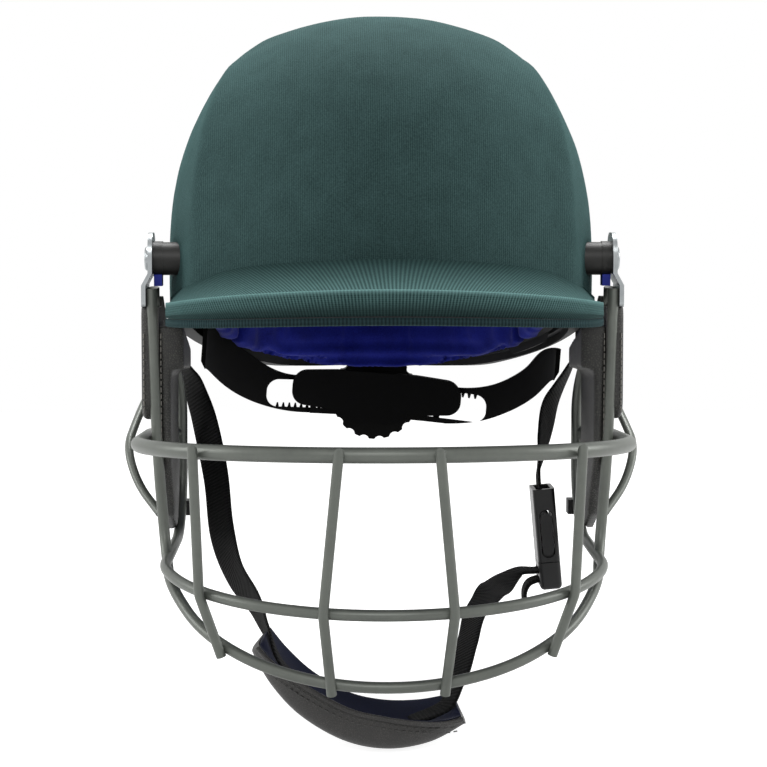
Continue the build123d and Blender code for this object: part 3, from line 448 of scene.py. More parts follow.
def make_brushed_cloth(name, dark, light):
    """Brushed nylon over foam: a short nap, lighter where it lies towards the eye.

    Its fibres are far thinner than its nap's tufts, and only the tufts are drawn.
    """
    nap_size = 0.7
    lay_size = 20.0
    material, tree, shader = start_material(name, Roughness=0.9, Sheen_Weight=0.1, Sheen_Roughness=0.45,
                                            Specular_IOR_Level=0.15)
    place = add(tree, "TexCoord").outputs["Object"]
    nap = add(tree, "TexNoise", {"Vector": place, "Scale": grain(nap_size), "Detail": 4.0,
                                 "Roughness": 0.7})
    lay = add(tree, "TexNoise", {"Vector": place, "Scale": grain(lay_size), "Detail": 3.0})
    mixed = add(tree, "Math", {0: nap, 1: lay}, operation="ADD")
    even = add(tree, "MapRange", {"Value": mixed, "From Min": 0.65, "From Max": 1.35})
    colour = add(tree, "MixRGB", {"Fac": even, "Color1": linear(dark), "Color2": linear(light)})
    cover(tree, shader, colour, [(nap, 0.12)])
    return material


def make_webbing():
    """Woven polyester webbing: thick weft ribs across the strap, fine warp along it, and lint."""
    weft_spacing = 1.75
    warp_spacing = 0.9
    lint_size = 1.2
    warp_share = 0.3
    material, tree, shader = start_material("polyester webbing", Roughness=0.85, Sheen_Weight=0.03,
                                            Specular_IOR_Level=0.1)
    place = add(tree, "TexCoord").outputs["Object"]
    flat = add(tree, "TexCoord").outputs["UV"]
    weft = add(tree, "TexWave", {"Vector": flat, "Scale": ribs(weft_spacing)}, bands_direction="Y")
    warp = add(tree, "TexWave", {"Vector": flat, "Scale": ribs(warp_spacing)}, bands_direction="X")
    lint = add(tree, "TexNoise", {"Vector": place, "Scale": grain(lint_size), "Detail": 4.0,
                                  "Roughness": 0.7})
    woven = add(tree, "Math", {0: warp, 1: warp_share, 2: weft}, operation="MULTIPLY_ADD")
    tone = add(tree, "Math", {0: woven, 1: lint}, operation="MULTIPLY")
    colour = add(tree, "MixRGB", {"Fac": tone, "Color1": linear("#050505"), "Color2": linear("#262626")})
    cover(tree, shader, colour, [(woven, 0.55), (lint, 0.1)])
    return material


def make_coated_steel():
    """Grille wire in satin grey powder coat: a faint orange peel breaks up its highlights."""
    peel_size = 1.6
    wear_size = 12.0
    material, tree, shader = start_material("satin coated steel", Metallic=0.3, Roughness=0.4)
    place = add(tree, "TexCoord").outputs["Object"]
    peel = add(tree, "TexNoise", {"Vector": place, "Scale": grain(peel_size), "Detail": 2.0})
    wear = add(tree, "TexNoise", {"Vector": place, "Scale": grain(wear_size), "Detail": 5.0,
                                  "Roughness": 0.65})
    colour = add(tree, "MixRGB", {"Fac": wear, "Color1": linear("#555954"), "Color2": linear("#70746d")})
    rough = add(tree, "MapRange", {"Value": wear, "To Min": 0.34, "To Max": 0.5})
    tree.links.new(rough.outputs[0], shader.inputs["Roughness"])
    cover(tree, shader, colour, [(peel, 0.07)])
    return material


def make_plated_steel():
    """Zinc-plated pressed steel: bright, streaked by the rolling lines of its sheet.

    The lines are finer than a tenth of a millimetre, and are drawn coarser so that they show.
    """
    line_size = 0.7
    line_stretch = 0.06
    spot_size = 7.0
    material, tree, shader = start_material("zinc plated steel", Metallic=1.0)
    place = add(tree, "TexCoord").outputs["Object"]
    drawn = add(tree, "Mapping", {"Vector": place, "Scale": (1.0, 1.0, line_stretch)})
    lines = add(tree, "TexNoise", {"Vector": drawn, "Scale": grain(line_size), "Detail": 4.0})
    spots = add(tree, "TexNoise", {"Vector": place, "Scale": grain(spot_size), "Detail": 4.0,
                                   "Roughness": 0.6})
    colour = add(tree, "MixRGB", {"Fac": spots, "Color1": linear("#84888a"), "Color2": linear("#a4a8a9")})
    rough = add(tree, "MapRange", {"Value": lines, "To Min": 0.22, "To Max": 0.42})
    tree.links.new(rough.outputs[0], shader.inputs["Roughness"])
    cover(tree, shader, colour, [(lines, 0.03)])
    return material


def make_thread(name, dark, light):
    """Bonded sewing thread, with a slight gloss on its twist."""
    twist_size = 0.5
    material, tree, shader = start_material(name, Roughness=0.6)
    place = add(tree, "TexCoord").outputs["Object"]
    twist = add(tree, "TexNoise", {"Vector": place, "Scale": grain(twist_size), "Detail": 3.0,
                                   "Roughness": 0.6})
    colour = add(tree, "MixRGB", {"Fac": twist, "Color1": linear(dark), "Color2": linear(light)})
    cover(tree, shader, colour, [(twist, 0.06)])
    return material


dome_knit = make_knit("knitted polyester", "#1f3030", "#4b6766", wale=0.95, course=0.8, rib_share=0.25)
peak_knit = make_knit("ribbed knitted polyester", "#203434", "#587a78", wale=1.45, course=0.9, folded=True)
binding_knit = make_knit("knitted edge binding", "#141f22", "#2d4144", wale=1.6, course=2.2)
shell_abs = make_moulded("moulded ABS", "#202123", "#2a2b2d", roughness=0.5)
foam = make_grained("crash foam", "#121213", "#232325", cell_size=1.6, depth=0.12, roughness=0.9)
trim_rubber = make_moulded("extruded rubber trim", "#0c0c0d", "#161617", roughness=0.62, grit_size=0.6)
black_nylon = make_moulded("moulded nylon", "#040404", "#090909", roughness=0.65, shine=0.08)
# The spacers' nylon has more shine, and its colour is drawn lighter than the other nylon as a painted
# reflection
spacer_nylon = make_moulded("nylon with painted reflection", "#1b1b1a", "#2d2c2a", roughness=0.42)
blue_rubber = make_moulded("soft moulded rubber", "#1f2a92", "#2b389f", roughness=0.6, grit_size=0.7)
acetal = make_moulded("moulded acetal", "#080809", "#101011", roughness=0.32, grit_size=0.35)
guard_skin = make_grained("grained guard skin", "#171715", "#40403b", cell_size=1.1, depth=0.14,
                          roughness=0.6)
leatherette = make_grained("grained leatherette", "#1f1e1d", "#403e3b", cell_size=0.9, depth=0.1,
                           roughness=0.55)
liner_cloth = make_brushed_cloth("brushed nylon lining", "#0f1668", "#2530a4")
navy_cloth = make_brushed_cloth("navy lining cloth", "#080b1b", "#161d3a")
webbing = make_webbing()
coated_steel = make_coated_steel()
plated_steel = make_plated_steel()
thread = make_thread("bonded grey thread", "#2c2c2b", "#565653")
pale_thread = make_thread("bonded pale thread", "#5c5a55", "#8e8b84")


# Carried-over rigid pieces

rigid_finishes = {
    "outer_shell": shell_abs, "foam_liner": foam, "rim_trim": trim_rubber, "peak_core": shell_abs,
    "inner_spacer_left": spacer_nylon, "inner_spacer_right": spacer_nylon,
    "outer_spacer_left": spacer_nylon, "outer_spacer_right": spacer_nylon,
    "bumper_left": blue_rubber, "bumper_right": blue_rubber,
    "temple_bolts": plated_steel, "temple_nuts": plated_steel, "strap_rivets": plated_steel,
    "side_plate_left": plated_steel, "side_plate_right": plated_steel,
    "top_bar": coated_steel, "mid_bar": coated_steel, "lower_bar": coated_steel,
    "upright_inner_left": coated_steel, "upright_inner_right": coated_steel,
    "upright_outer_left": coated_steel, "upright_outer_right": coated_steel,
    "ear_loop_left": coated_steel, "ear_loop_right": coated_steel,
    "guard_shell_left": guard_skin, "guard_shell_right": guard_skin,
    "guard_tie_left": trim_rubber, "guard_tie_right": trim_rubber,
    "buckle_body": acetal, "buckle_plug": acetal, "prong_front": acetal, "prong_rear": acetal,
    "band_left": black_nylon, "band_right": black_nylon, "housing_back": black_nylon,
    "housing_front": black_nylon, "knob": black_nylon, "pinion": acetal,
}

# Width in millimetres of the rounding along their sharp edges, its segments, and the angle in
# degrees that counts as sharp
edge_segments = 2
sharp_angle = 35
edge_rounds = {
    "inner_spacer_left": 0.6, "inner_spacer_right": 0.6, "outer_spacer_left": 0.8,
    "outer_spacer_right": 0.8, "bumper_left": 1.0, "bumper_right": 1.0,
    "side_plate_left": 0.4, "side_plate_right": 0.4, "rim_trim": 1.0,
    "buckle_body": 1.0, "buckle_plug": 1.0, "band_left": 0.5, "band_right": 0.5,
    "housing_back": 0.5, "housing_front": 0.8, "knob": 0.6, "guard_tie_left": 0.5,
    "guard_tie_right": 0.5, "temple_bolts": 0.4,
}


def finish_rigid():
    """Give each carried-over node its material, and round its edges where that shows."""
    for name, material in rigid_finishes.items():
        piece = nodes[name]
        piece.data.materials.clear()
        piece.data.materials.append(material)
        if name in edge_rounds:
            bevel = piece.modifiers.new("rounded edges", "BEVEL")
            bevel.width = mm(edge_rounds[name])
            bevel.segments = edge_segments
            bevel.limit_method = "ANGLE"
            bevel.angle_limit = math.radians(sharp_angle)
            bevel.use_clamp_overlap = True


# Mesh helpers

def new_piece(name, points, faces, material, body, uvs=None):
    """A smooth mesh piece in metres that rides on a body."""
    mesh = bpy.data.meshes.new(name)
    mesh.from_pydata([tuple(mm(value) for value in point) for point in points], [], faces)
    mesh.materials.append(material)
    if uvs is not None:
        layer = mesh.uv_layers.new(name="UVMap")
        for face, corners in zip(mesh.polygons, uvs):
            for loop, corner in zip(face.loop_indices, corners):
                layer.data[loop].uv = (mm(corner[0]), mm(corner[1]))
    mesh.shade_smooth()
    piece = bpy.data.objects.new(name, mesh)
    bpy.context.scene.collection.objects.link(piece)
    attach(piece, body)
    return piece


def grid_faces(rows, columns, closed=False):
    """Faces of a grid of points that is stored row by row."""
    faces = []
    last = columns if closed else columns - 1
    for row in range(rows - 1):
        for column in range(last):
            beside = (column + 1) % columns
            faces.append((row * columns + column, row * columns + beside,
                          (row + 1) * columns + beside, (row + 1) * columns + column))
    return faces


def eased(before, here, after, beyond, share):
    """A point between here and after, on a smooth curve through all four."""
    first = (after - before) * 0.5
    last = (beyond - here) * 0.5
    rise = share * share * (3 - 2 * share)
    lead = share * (1 - share) ** 2
    trail = share * share * (share - 1)
    return here + (after - here) * rise + first * lead + last * trail


def smooth_line(points, steps):
    """Points on a smooth curve through the given ones."""
    vectors = [Vector(point) for point in points]
    last = len(vectors) - 1
    line = []
    for index in range(last):
        before = vectors[max(index - 1, 0)]
        beyond = vectors[min(index + 2, last)]
        for step in range(steps):
            line.append(eased(before, vectors[index], vectors[index + 1], beyond, step / steps))
    line.append(vectors[last])
    return line


def subdivide(piece, levels):
    rounder = piece.modifiers.new("round", "SUBSURF")
    rounder.levels = levels
    rounder.render_levels = levels


# Dome cloth

def dome_across(height):
    """Share of the full plan that the dome keeps at a height."""
    share = (height - widest_height) / (crown_height - widest_height)
    if share <= 0:
        return 1.0
    return max(1 - share ** dome_exponent, 0) ** (1 / dome_exponent)


def rim_height(y):
    """Height of the shell's rim, which falls evenly from the temples to the rear."""
    slope = (rim_rear - rim_front) / (rim_rear_y - rim_front_y)
    return rim_front + slope * (min(max(y, rim_front_y), rim_rear_y) - rim_front_y)


def ridge_x(height):
    """Half width of the raised middle panel at a height."""
    return ridge_foot_x - ridge_drift * (max(height, 0) / ridge_top) ** ridge_bend


def ridge_points():
    """The two soft corners of the middle panel, in front and behind, from the rim up to the crown."""
    points = []
    for side in (-1, 1):
        for depth, way in ((shell_front, -1), (shell_rear, 1)):
            for step in range(ridge_steps):
                height = ridge_low + step * (ridge_top - ridge_low) / (ridge_steps - 1)
                across = dome_across(height)
                share = min(ridge_x(height) / (shell_half_width * across), 1.0)
                y = way * depth * across * math.sqrt(1 - share * share)
                points.append((side * shell_half_width * across * share, y, height))
    return points


def ridge_tree():
    """The middle panel's corners, to be searched for the nearest one to a place."""
    points = ridge_points()
    tree = kdtree.KDTree(len(points))
    for index, point in enumerate(points):
        tree.insert(point, index)
    tree.balance()
    return tree


def cloth_lift(point, tree):
    """How far the cloth stands off the plain dome: the panel's soft corners and small slack."""
    away = tree.find(point)[2]
    away = math.sqrt(away * away + ridge_round * ridge_round) - ridge_round
    fade = 1 - ridge_fade * min(max(point[2], 0) / ridge_top, 1) ** 3
    corner = ridge_rise * fade * max(1 - away / ridge_reach, 0) ** 2
    slack = slack_rise * noise.noise(Vector(point) * slack_scale)
    pucker = pucker_rise * noise.noise(Vector(point) * pucker_scale)
    return corner + (slack + pucker)


def dome_place(row, column):
    """A place on the plain dome, and the way that the dome faces there."""
    turn = 2 * math.pi * column / dome_columns
    depth = shell_rear if math.sin(turn) > 0 else shell_front
    if row < skirt_rows:
        low = rim_height(depth * math.sin(turn)) + trim_height
        height = low + (widest_height - low) * row / skirt_rows
        across = 1.0
    else:
        angle = math.pi / 2 * (row - skirt_rows) / (dome_rows - 1 - skirt_rows)
        angle = min(angle, math.pi / 2 * crown_share)
        across = math.cos(angle) ** (2 / dome_exponent)
        height = widest_height + (crown_height - widest_height) * math.sin(angle) ** (2 / dome_exponent)
    place = Vector((shell_half_width * across * math.cos(turn), depth * across * math.sin(turn), height))
    up = max(height - widest_height, 0) ** (dome_exponent - 1) / crown_height ** dome_exponent * up_share
    way = Vector((place.x / shell_half_width ** 2, place.y / depth ** 2, up))
    return place, way.normalized()


def make_dome_cloth():
    """One cloth in rows from the rim to the crown, each starting at +X and going round by the rear."""
    tree = ridge_tree()
    points = []
    for row in range(dome_rows):
        for column in range(dome_columns):
            place, way = dome_place(row, column)
            points.append(place + way * cloth_lift(place, tree))
    faces = grid_faces(dome_rows, dome_columns, closed=True)
    faces.append(tuple(range((dome_rows - 1) * dome_columns, dome_rows * dome_columns)))
    uvs = [dome_uv(face, points) for face in faces]
    piece = new_piece("dome_cloth", points, faces, dome_knit, "helmet", uvs)
    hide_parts("dome_cover")


def dome_uv(face, points):
    """Wales run fore and aft over the middle panel and up and down the sides."""
    corners = [points[index] for index in face]
    middle = sum(corners, Vector()) / len(corners)
    if abs(middle.x) < ridge_x(middle.z):
        along = 1 if middle.y > 0 else -1
        return [(corner.x, along * (corner.y * along - corner.z)) for corner in corners]
    return [(corner.y, corner.z + abs(corner.x) * side_spread) for corner in corners]


# Peak cloth and its binding

def peak_plan(share):
    """A place on the lip's outline seen from above, by its share of the half width."""
    depth = peak_tip - peak_corner_y
    bow = (1 - abs(share) ** peak_exponent) ** (1 / peak_exponent)
    return share * peak_half_width, -peak_corner_y - depth * bow


def lip_foot(share):
    """Height of the lip's lower edge, which falls towards the peak's ends."""
    return lip_height - lip_fall * share ** 2


def peak_profile(share):
    """The cloth's line from the dome over the fold down to the binding's seam."""
    x, lip_y = peak_plan(share)
    end = abs(share) ** end_power
    crease = crease_height - crease_fall * share ** 2 - crease_drop * end
    fold = fold_height - fold_fall * share ** 2 - fold_drop * end
    seam = lip_foot(share) + binding_height
    root_y = -shell_front * math.sqrt(1 - (x / shell_half_width) ** 2) + root_lap
    edge_y = lip_y + fold_round
    line = []
    for step in range(top_points):
        way = step / (top_points - 1)
        sag = (top_sag - cloth_gap) * math.sin(math.pi * way) + top_settle * way
        line.append((x, root_y + (edge_y - root_y) * way, crease + (fold - crease) * way - sag))
    line += [(x, lip_y + back, fold + up) for back, up in fold_line]
    line += [(x, lip_y + back, seam + up) for back, up in tuck_line]
    return line


def peak_shares():
    """Where the peak's lines stand, as shares of its half width, closer together at its ends."""
    turns = [math.pi * (index / (peak_lines - 1) - 0.5) for index in range(peak_lines)]
    return [peak_end_share * math.sin(turn) for turn in turns]


def strip_piece(name, lines, material, body, lean=0.0):
    """A sheet through lines of points, its UV map measured along and across it, with ribs that lean."""
    columns = len(lines[0])
    points = [point for line in lines for point in line]
    along = [0.0]
    middle = columns // 2
    for line, after in zip(lines, lines[1:]):
        along.append(along[-1] + (after[middle] - line[middle]).length)
    across = [0.0]
    centre = lines[len(lines) // 2]
    for point, after in zip(centre, centre[1:]):
        across.append(across[-1] + (after - point).length)
    faces = grid_faces(len(lines), columns)
    half = along[-1] / 2
    uvs = []
    for face in faces:
        corners = [(along[index // columns] - half, across[index % columns]) for index in face]
        uvs.append([(run * (1 + lean * (height / fold_run - 1)), height) for run, height in corners])
    return new_piece(name, points, faces, material, body, uvs)


def in_front(line):
    """The part of a cloth line that stands in front of the temple fixings."""
    return [Vector((point.x, min(point.y, peak_rear_y), point.z)) for point in line]


def make_peak_cloth():
    lines = [in_front(smooth_line(peak_profile(share), peak_steps)) for share in peak_shares()]
    piece = strip_piece("peak_cloth", lines, peak_knit, "helmet", rib_lean)
    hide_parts("peak_cover")


def make_peak_binding():
    """A rolled binding along the lip, sewn on under the fold."""
    lines = []
    for share in peak_shares():
        x, lip_y = peak_plan(share)
        low = lip_foot(share)
        profile = [(x, lip_y + back, low + up) for back, up in binding_roll]
        lines.append(in_front(smooth_line(profile, binding_steps)))
    piece = strip_piece("peak_edge_binding", lines, binding_knit, "helmet")
    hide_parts("peak_binding")


# Soft pads

def copy_of(node, piece_name, material):
    """A new piece with a CAD node's shape, to be softened."""
    mesh = nodes[node].data.copy()
    mesh.name = piece_name
    mesh.materials.clear()
    mesh.materials.append(material)
    piece = bpy.data.objects.new(piece_name, mesh)
    bpy.context.scene.collection.objects.link(piece)
    return piece


def apply_modifiers(piece):
    """Keep the shape that the piece's modifiers give, and drop the modifiers."""
    bpy.context.view_layer.update()
    seen = piece.evaluated_get(bpy.context.evaluated_depsgraph_get())
    mesh = bpy.data.meshes.new_from_object(seen)
    piece.modifiers.clear()
    piece.data = mesh
    mesh.shade_smooth()


def remesh(piece, voxel):
    """Rebuild the piece with even faces, a voxel across in millimetres."""
    modifier = piece.modifiers.new("even mesh", "REMESH")
    modifier.mode = "VOXEL"
    modifier.voxel_size = mm(voxel)
    apply_modifiers(piece)


def soften(piece, turns):
    """Smooth the piece's corners in a number of turns."""
    modifier = piece.modifiers.new("soft corners", "SMOOTH")
    modifier.iterations = turns
    modifier.factor = smooth_share
    apply_modifiers(piece)


def inflate(piece, cap):
    """Fill the pad with air for a moment, and let no point move further than the cap."""
    start = [vertex.co.copy() for vertex in piece.data.vertices]
    cloth = piece.modifiers.new("filling", "CLOTH")
    cloth.settings.use_pressure = True
    cloth.settings.uniform_pressure_force = filling_pressure
    cloth.settings.effector_weights.gravity = 0
    for step in range(filling_frames):
        bpy.context.scene.frame_set(step + 1)
    apply_modifiers(piece)
    bpy.context.scene.frame_set(1)
    for vertex, place in zip(piece.data.vertices, start):
        move = vertex.co - place
        if move.length > mm(cap):
            vertex.co = place + move.normalized() * mm(cap)


def make_pad(name, cap):
    """A comfort pad: foam that fills its cloth, swollen by no more than the cap."""
    piece = copy_of(name, name + "_cushion", liner_cloth)
    remesh(piece, pad_voxel)
    soften(piece, pad_turns)
    inflate(piece, cap)
    subdivide(piece, 1)
    apply_modifiers(piece)
    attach(piece, "helmet")
    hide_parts(name)
    return piece


def panel_distance(x, z):
    """How far a place lies outside the rear pad's rounded panel; less than zero is inside."""
    across = abs(x - panel_x) - (panel_half_width - panel_corner)
    down = panel_low + panel_corner - z
    outside = math.hypot(max(across, 0), max(down, 0))
    return outside + min(max(across, down), 0) - panel_corner


def press_channel(piece):
    """The pressed channel round the rear pad's panel, with a fainter one inside it."""
    for vertex in piece.data.vertices:
        if vertex.normal.y > front_facing:
            continue
        away = panel_distance(vertex.co.x / mm(1), vertex.co.z / mm(1))
        deep = math.exp(-(away / channel_half_width) ** 2)
        faint = math.exp(-((away + channel_gap) / channel_half_width) ** 2)
        vertex.co -= vertex.normal * mm(channel_depth) * (deep + faint * faint_share)


def make_pads():
    for name, swell in swells.items():
        piece = make_pad(name, swell)
        if name == "pad_rear":
            press_channel(piece)


def make_guard_stitches():
    """Rows of stitches down the front of each ear guard, at its seam and at its outer edge."""
    for side, name in ((-1, "left"), (1, "right")):
        stitches = []
        for x, low in ((guard_seam_x, guard_seam_low), (guard_edge_x, guard_edge_low)):
            height = guard_stitch_top
            while height > low:
                stitches.append([(side * x, guard_front_y, height),
                                 (side * x, guard_front_y, height - stitch_length)])
                height -= stitch_pitch
        seam = make_tube("guard_stitches_" + name, stitches, stitch_radius, pale_thread, "grille")


def make_guard_pads():
    """Ear guards' inner pads: moulded foam under a grained skin."""
    for side in ("left", "right"):
        piece = copy_of("guard_pad_" + side, "ear_pad_" + side, guard_skin)
        remesh(piece, guard_voxel)
        soften(piece, guard_turns)
        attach(piece, "grille")
        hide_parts("guard_pad_" + side)


# Webbing

def anchor_stations(side):
    """The flat start of a strap on the outside of the shell."""
    share = math.sqrt(1 - (anchor_y / shell_rear) ** 2)
    turn = anchor_y / shell_rear ** 2 * shell_half_width / share
    x = side * (shell_half_width * share + strap_thickness / 2 + anchor_proud)
    return [((x, anchor_y, height), (-side * turn, 1, 0)) for height in (anchor_reach, 0, -anchor_reach)]


def placed(shares):
    """A strap's stations in millimetres, each with the way that its width lies."""
    stations = []
    for x_share, y_share, z_share, across in shares:
        point = (x_share * shell_half_width, y_share * shell_front, z_share * strap_drop)
        stations.append((point, across))
    return stations


def webbing_section(width, thickness):
    """Outline of woven webbing: flat faces and rounded selvedges."""
    outline = []
    half = width / 2
    for step in range(selvedge_steps + 1):
        share = step / selvedge_steps * 2 - 1
        edge = max(1 - abs(share) ** selvedge_power, 0) ** 0.5
        outline.append((share * half, thickness / 2 * (selvedge_share + (1 - selvedge_share) * edge)))
    return outline + [(across, -up) for across, up in reversed(outline)]


def make_strap(piece_name, node, stations, width=strap_width, thickness=strap_thickness):
    """Webbing swept along its stations, with its width kept square to its run."""
    line = smooth_line([point for point, across in stations], strap_steps)
    sides = smooth_line([Vector(across).normalized() for point, across in stations], strap_steps)
    outline = webbing_section(width, thickness)
    points = []
    run = 0.0
    runs = []
    last = len(line) - 1
    for index in range(last + 1):
        along = (line[min(index + 1, last)] - line[max(index - 1, 0)]).normalized()
        across = sides[index]
        across = (across - along * across.dot(along)).normalized()
        up = along.cross(across)
        if index:
            run += (line[index] - line[index - 1]).length
        runs.append(run)
        for side, height in outline:
            points.append(line[index] + across * side + up * height)
    count = len(outline)
    faces = grid_faces(last + 1, count, closed=True)
    uvs = [[(outline[corner % count][0], runs[corner // count]) for corner in face] for face in faces]
    for start in (0, last * count):
        faces.append(tuple(range(start, start + count)))
        uvs.append([(0, 0)] * count)
    piece = new_piece(piece_name, points, faces, webbing, "helmet", uvs)
    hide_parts(node)
    return piece


def make_straps():
    make_strap("webbing_left", "strap_left", anchor_stations(-1) + placed(strap_left_shares))
    make_strap("webbing_right", "strap_right", anchor_stations(1) + placed(strap_right_shares))
    make_strap("webbing_lower", "strap_lower", placed(strap_lower_shares))
    make_strap("webbing_end", "strap_end", placed(strap_end_shares),
               strap_width - strap_thickness, end_thickness)


# Chin cup

def cup_ring(index_share, outline_of):
    """An outline across the cup, placed between its stations."""
    last = len(cup_shares) - 1
    low = min(int(index_share), last - 1)
    share = index_share - low
    rows = [cup_shares[min(max(low + step, 0), last)] for step in (-1, 0, 1, 2)]
    values = []
    for place in range(5):
        before, here, after, beyond = (Vector((row[place], 0, 0)) for row in rows)
        values.append(eased(before, here, after, beyond, share).x)
    x_share, y_share, z_share, tilt, size_share = values
    point = Vector((x_share * cup_reach, y_share * shell_front, z_share * strap_drop))
    slope = math.radians(tilt)
    forward = Vector((0, -1, 0))
    up = Vector((math.sin(slope), 0, math.cos(slope)))
    return [point + forward * across + up * height for across, height in outline_of(size_share)]


def cup_front_wall(size_share):
    """Height of the cup's front wall, which runs out towards the ends."""
    return cup_wall * ((size_share - cup_end_share) / (1 - cup_end_share)) ** 1.5


def cup_outer_outline(size_share):
    """The cup's skin, from the front wall's top under the cup to the rear and back along its bed."""
    half = cup_half_depth * size_share
    wall = cup_front_wall(size_share)
    rear = cup_rear_rise * size_share ** 1.5
    low = cup_thickness
    return [
        (half + low / 3 - 0.3, wall + 0.3), (half + low / 3 + 0.2, wall * 0.6),
        (half * 0.92, -low * 0.2), (half * 0.75, -low * 0.85), (half * 0.3, -low - 0.2),
        (-half * 0.3, -low - 0.1), (-half * 0.75, rear - low * 0.9), (-half, rear - low / 2),
        (-half - 0.2, rear), (-half * 0.6, rear * 0.4), (0, 0), (half * 0.5, 0),
        (half * 0.82, wall * 0.4), (half, wall),
    ]


def cup_lining_outline(size_share):
    """The cup's lining, from the front wall's top along its bed to the rear and back over it."""
    half = cup_half_depth * size_share
    wall = cup_front_wall(size_share)
    rear = cup_rear_rise * size_share ** 1.5
    high = cup_lining
    return [
        (half, wall + 0.4), (half * 0.82, wall * 0.4), (half * 0.5, 0.1), (0, 0.1),
        (-half * 0.6, rear * 0.4 + 0.1), (-half, rear + 0.2), (-half, rear + high * 0.8),
        (-half * 0.7, rear * 0.5 + high + 0.5), (0, high + 0.8), (half * 0.5, high + 0.8),
        (half * 0.75, wall * 0.45 + high * 0.3), (half - high, wall + 0.3),
    ]


def cup_piece(name, node, outline_of, material):
    """A padded piece lofted through an outline at each ring of the cup."""
    last = (len(cup_shares) - 1) * cup_steps
    rings = [cup_ring(index / cup_steps, outline_of) for index in range(last + 1)]
    points = [point for ring in rings for point in ring]
    count = len(rings[0])
    faces = grid_faces(len(rings), count, closed=True)
    for start in (0, last * count):
        faces.append(tuple(range(start, start + count)))
    piece = new_piece(name, points, faces, material, "helmet")
    subdivide(piece, 2)
    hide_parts(node)
    return piece


def cup_line(place_of, steps, spare):
    """A line along the cup through one place of each ring, without a few steps at its ends."""
    last = (len(cup_shares) - 1) * steps
    return [cup_ring(index / steps, lambda size_share: [place_of(size_share)])[0]
            for index in range(spare, last + 1 - spare)]


def make_tube(name, lines, radius, material, body):
    """Round piping or stitches along lines of points, as one curve object."""
    curve = bpy.data.curves.new(name, "CURVE")
    curve.dimensions = "3D"
    curve.bevel_depth = mm(radius)
    curve.bevel_resolution = 3
    curve.use_fill_caps = True
    curve.materials.append(material)
    for line in lines:
        spline = curve.splines.new("POLY")
        spline.points.add(len(line) - 1)
        for point, place in zip(spline.points, line):
            point.co = (mm(place[0]), mm(place[1]), mm(place[2]), 1)
    piece = bpy.data.objects.new(name, curve)
    bpy.context.scene.collection.objects.link(piece)
    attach(piece, body)
    return piece


def make_cup():
    cup_piece("chin_cup_skin", "chin_cup", cup_outer_outline, leatherette)
    cup_piece("chin_cup_lining", "chin_lining", cup_lining_outline, navy_cloth)
    out = cup_thickness / 3 + piping_radius + piping_gap
    top = cup_line(lambda size_share: (cup_half_depth * size_share + out,
                                       cup_front_wall(size_share) - piping_drop), cup_steps, 0)
    piping = make_tube("chin_cup_piping", [top], piping_radius, leatherette, "helmet")
    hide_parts("chin_piping")
    stitches = []
    for drop in cup_stitch_drops:
        row = cup_line(lambda size_share: (
            cup_half_depth * size_share + cup_thickness / 3 - drop * cup_stitch_lean + cup_stitch_proud,
            cup_front_wall(size_share) - drop), cup_stitch_steps, cup_stitch_spare)
        stitches += [row[start:start + 2] for start in range(0, len(row) - 1, 2)]
    seam = make_tube("chin_cup_stitches", stitches, stitch_radius, thread, "helmet")


# Floor, background, lamps and camera

def grey(share):
    """A linear grey."""
    return (share, share, share, 1)


def seen_by(tree, first, *others):
    """1 where the light path is of any of the given kinds, or else 0."""
    path = add(tree, "LightPath")
    seen = path.outputs[first]
    for kind in others:
        seen = add(tree, "Math", {0: seen, 1: path.outputs[kind]}, operation="MAXIMUM").outputs[0]
    return seen


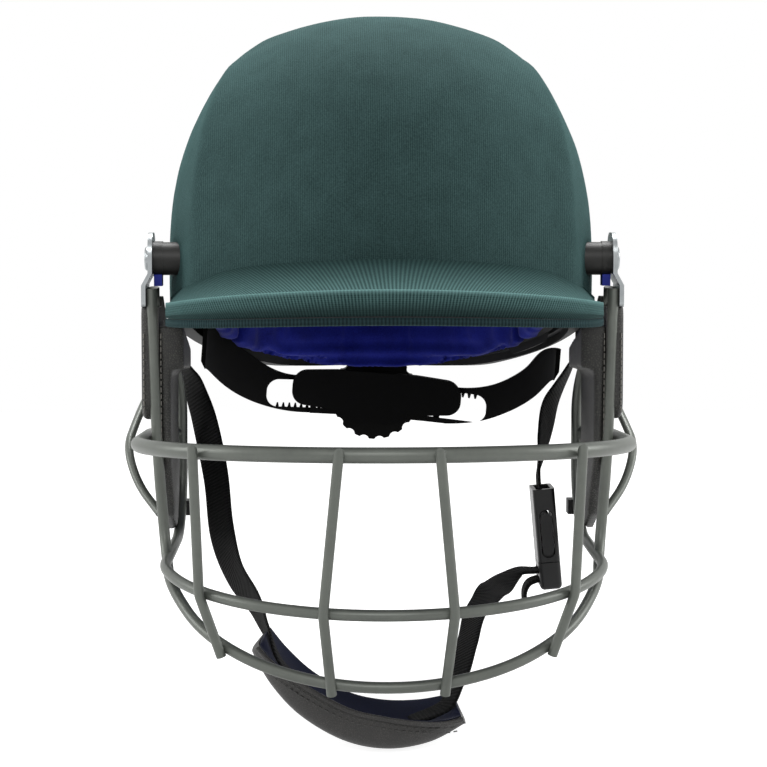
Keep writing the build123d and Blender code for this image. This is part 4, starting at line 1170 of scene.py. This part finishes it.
def make_floor():
    """White painted floor that still takes the object's shadow, and reflects as a plain pale one."""
    low = cad_box[0][2] - mm(floor_drop)
    corners = [(x * floor_reach, y * floor_reach, low) for x, y in ((-1, -1), (1, -1), (1, 1), (-1, 1))]
    mesh = bpy.data.meshes.new("floor")
    mesh.from_pydata(corners, [], [(0, 1, 2, 3)])
    floor = bpy.data.objects.new("floor", mesh)
    bpy.context.scene.collection.objects.link(floor)
    material = bpy.data.materials.new("white painted floor")
    material.use_nodes = True
    tree = material.node_tree
    tree.nodes.clear()
    seen = seen_by(tree, "Is Camera Ray", "Is Glossy Ray")
    paint = add(tree, "BsdfDiffuse", {"Color": grey(seen_paint)})
    glow = add(tree, "Emission", {"Color": grey(1), "Strength": floor_glow})
    both = add(tree, "AddShader", {0: paint, 1: glow})
    plain = add(tree, "BsdfDiffuse", {"Color": grey(plain_paint)})
    mix = add(tree, "MixShader", {0: seen, 1: plain, 2: both})
    add(tree, "OutputMaterial", {"Surface": mix})
    mesh.materials.append(material)


def make_world():
    """Soft even light, and white wherever the camera, gloss or glass sees past the object."""
    world = bpy.data.worlds.new("studio")
    bpy.context.scene.world = world
    world.use_nodes = True
    tree = world.node_tree
    tree.nodes.clear()
    seen = seen_by(tree, "Is Camera Ray", "Is Glossy Ray", "Is Transmission Ray")
    soft = add(tree, "Background", {"Color": grey(1), "Strength": soft_light})
    white = add(tree, "Background", {"Color": grey(1), "Strength": 1.0})
    mix = add(tree, "MixShader", {0: seen, 1: soft, 2: white})
    add(tree, "OutputWorld", {"Surface": mix})


def make_lamp(name, place, aim, width, power):
    """A round softbox at a place, aimed at another."""
    lamp = bpy.data.lights.new(name, "AREA")
    lamp.shape = "DISK"
    lamp.size = width
    lamp.energy = power
    holder = bpy.data.objects.new(name, lamp)
    bpy.context.scene.collection.objects.link(holder)
    holder.location = place
    holder.rotation_euler = (Vector(aim) - Vector(place)).to_track_quat("-Z", "Y").to_euler()


def make_camera():
    """The photograph's view: level with the crown's side and tilted slightly down."""
    camera = bpy.data.cameras.new("camera")
    camera.sensor_width = camera_sensor
    camera.lens = camera_lens
    camera.clip_end = 30.0
    holder = bpy.data.objects.new("camera", camera)
    bpy.context.scene.collection.objects.link(holder)
    holder.location = [mm(value) for value in camera_place]
    holder.rotation_euler = (math.radians(90 - camera_down), 0, math.radians(camera_turn))
    bpy.context.scene.camera = holder


def make_studio():
    make_floor()
    make_world()
    for lamp in lamps:
        make_lamp(*lamp)


make_camera()
bpy.context.scene.view_settings.view_transform = "Standard"
make_studio()
finish_rigid()
make_dome_cloth()
make_peak_cloth()
make_peak_binding()
make_straps()
make_cup()
make_guard_pads()
make_guard_stitches()
make_pads()
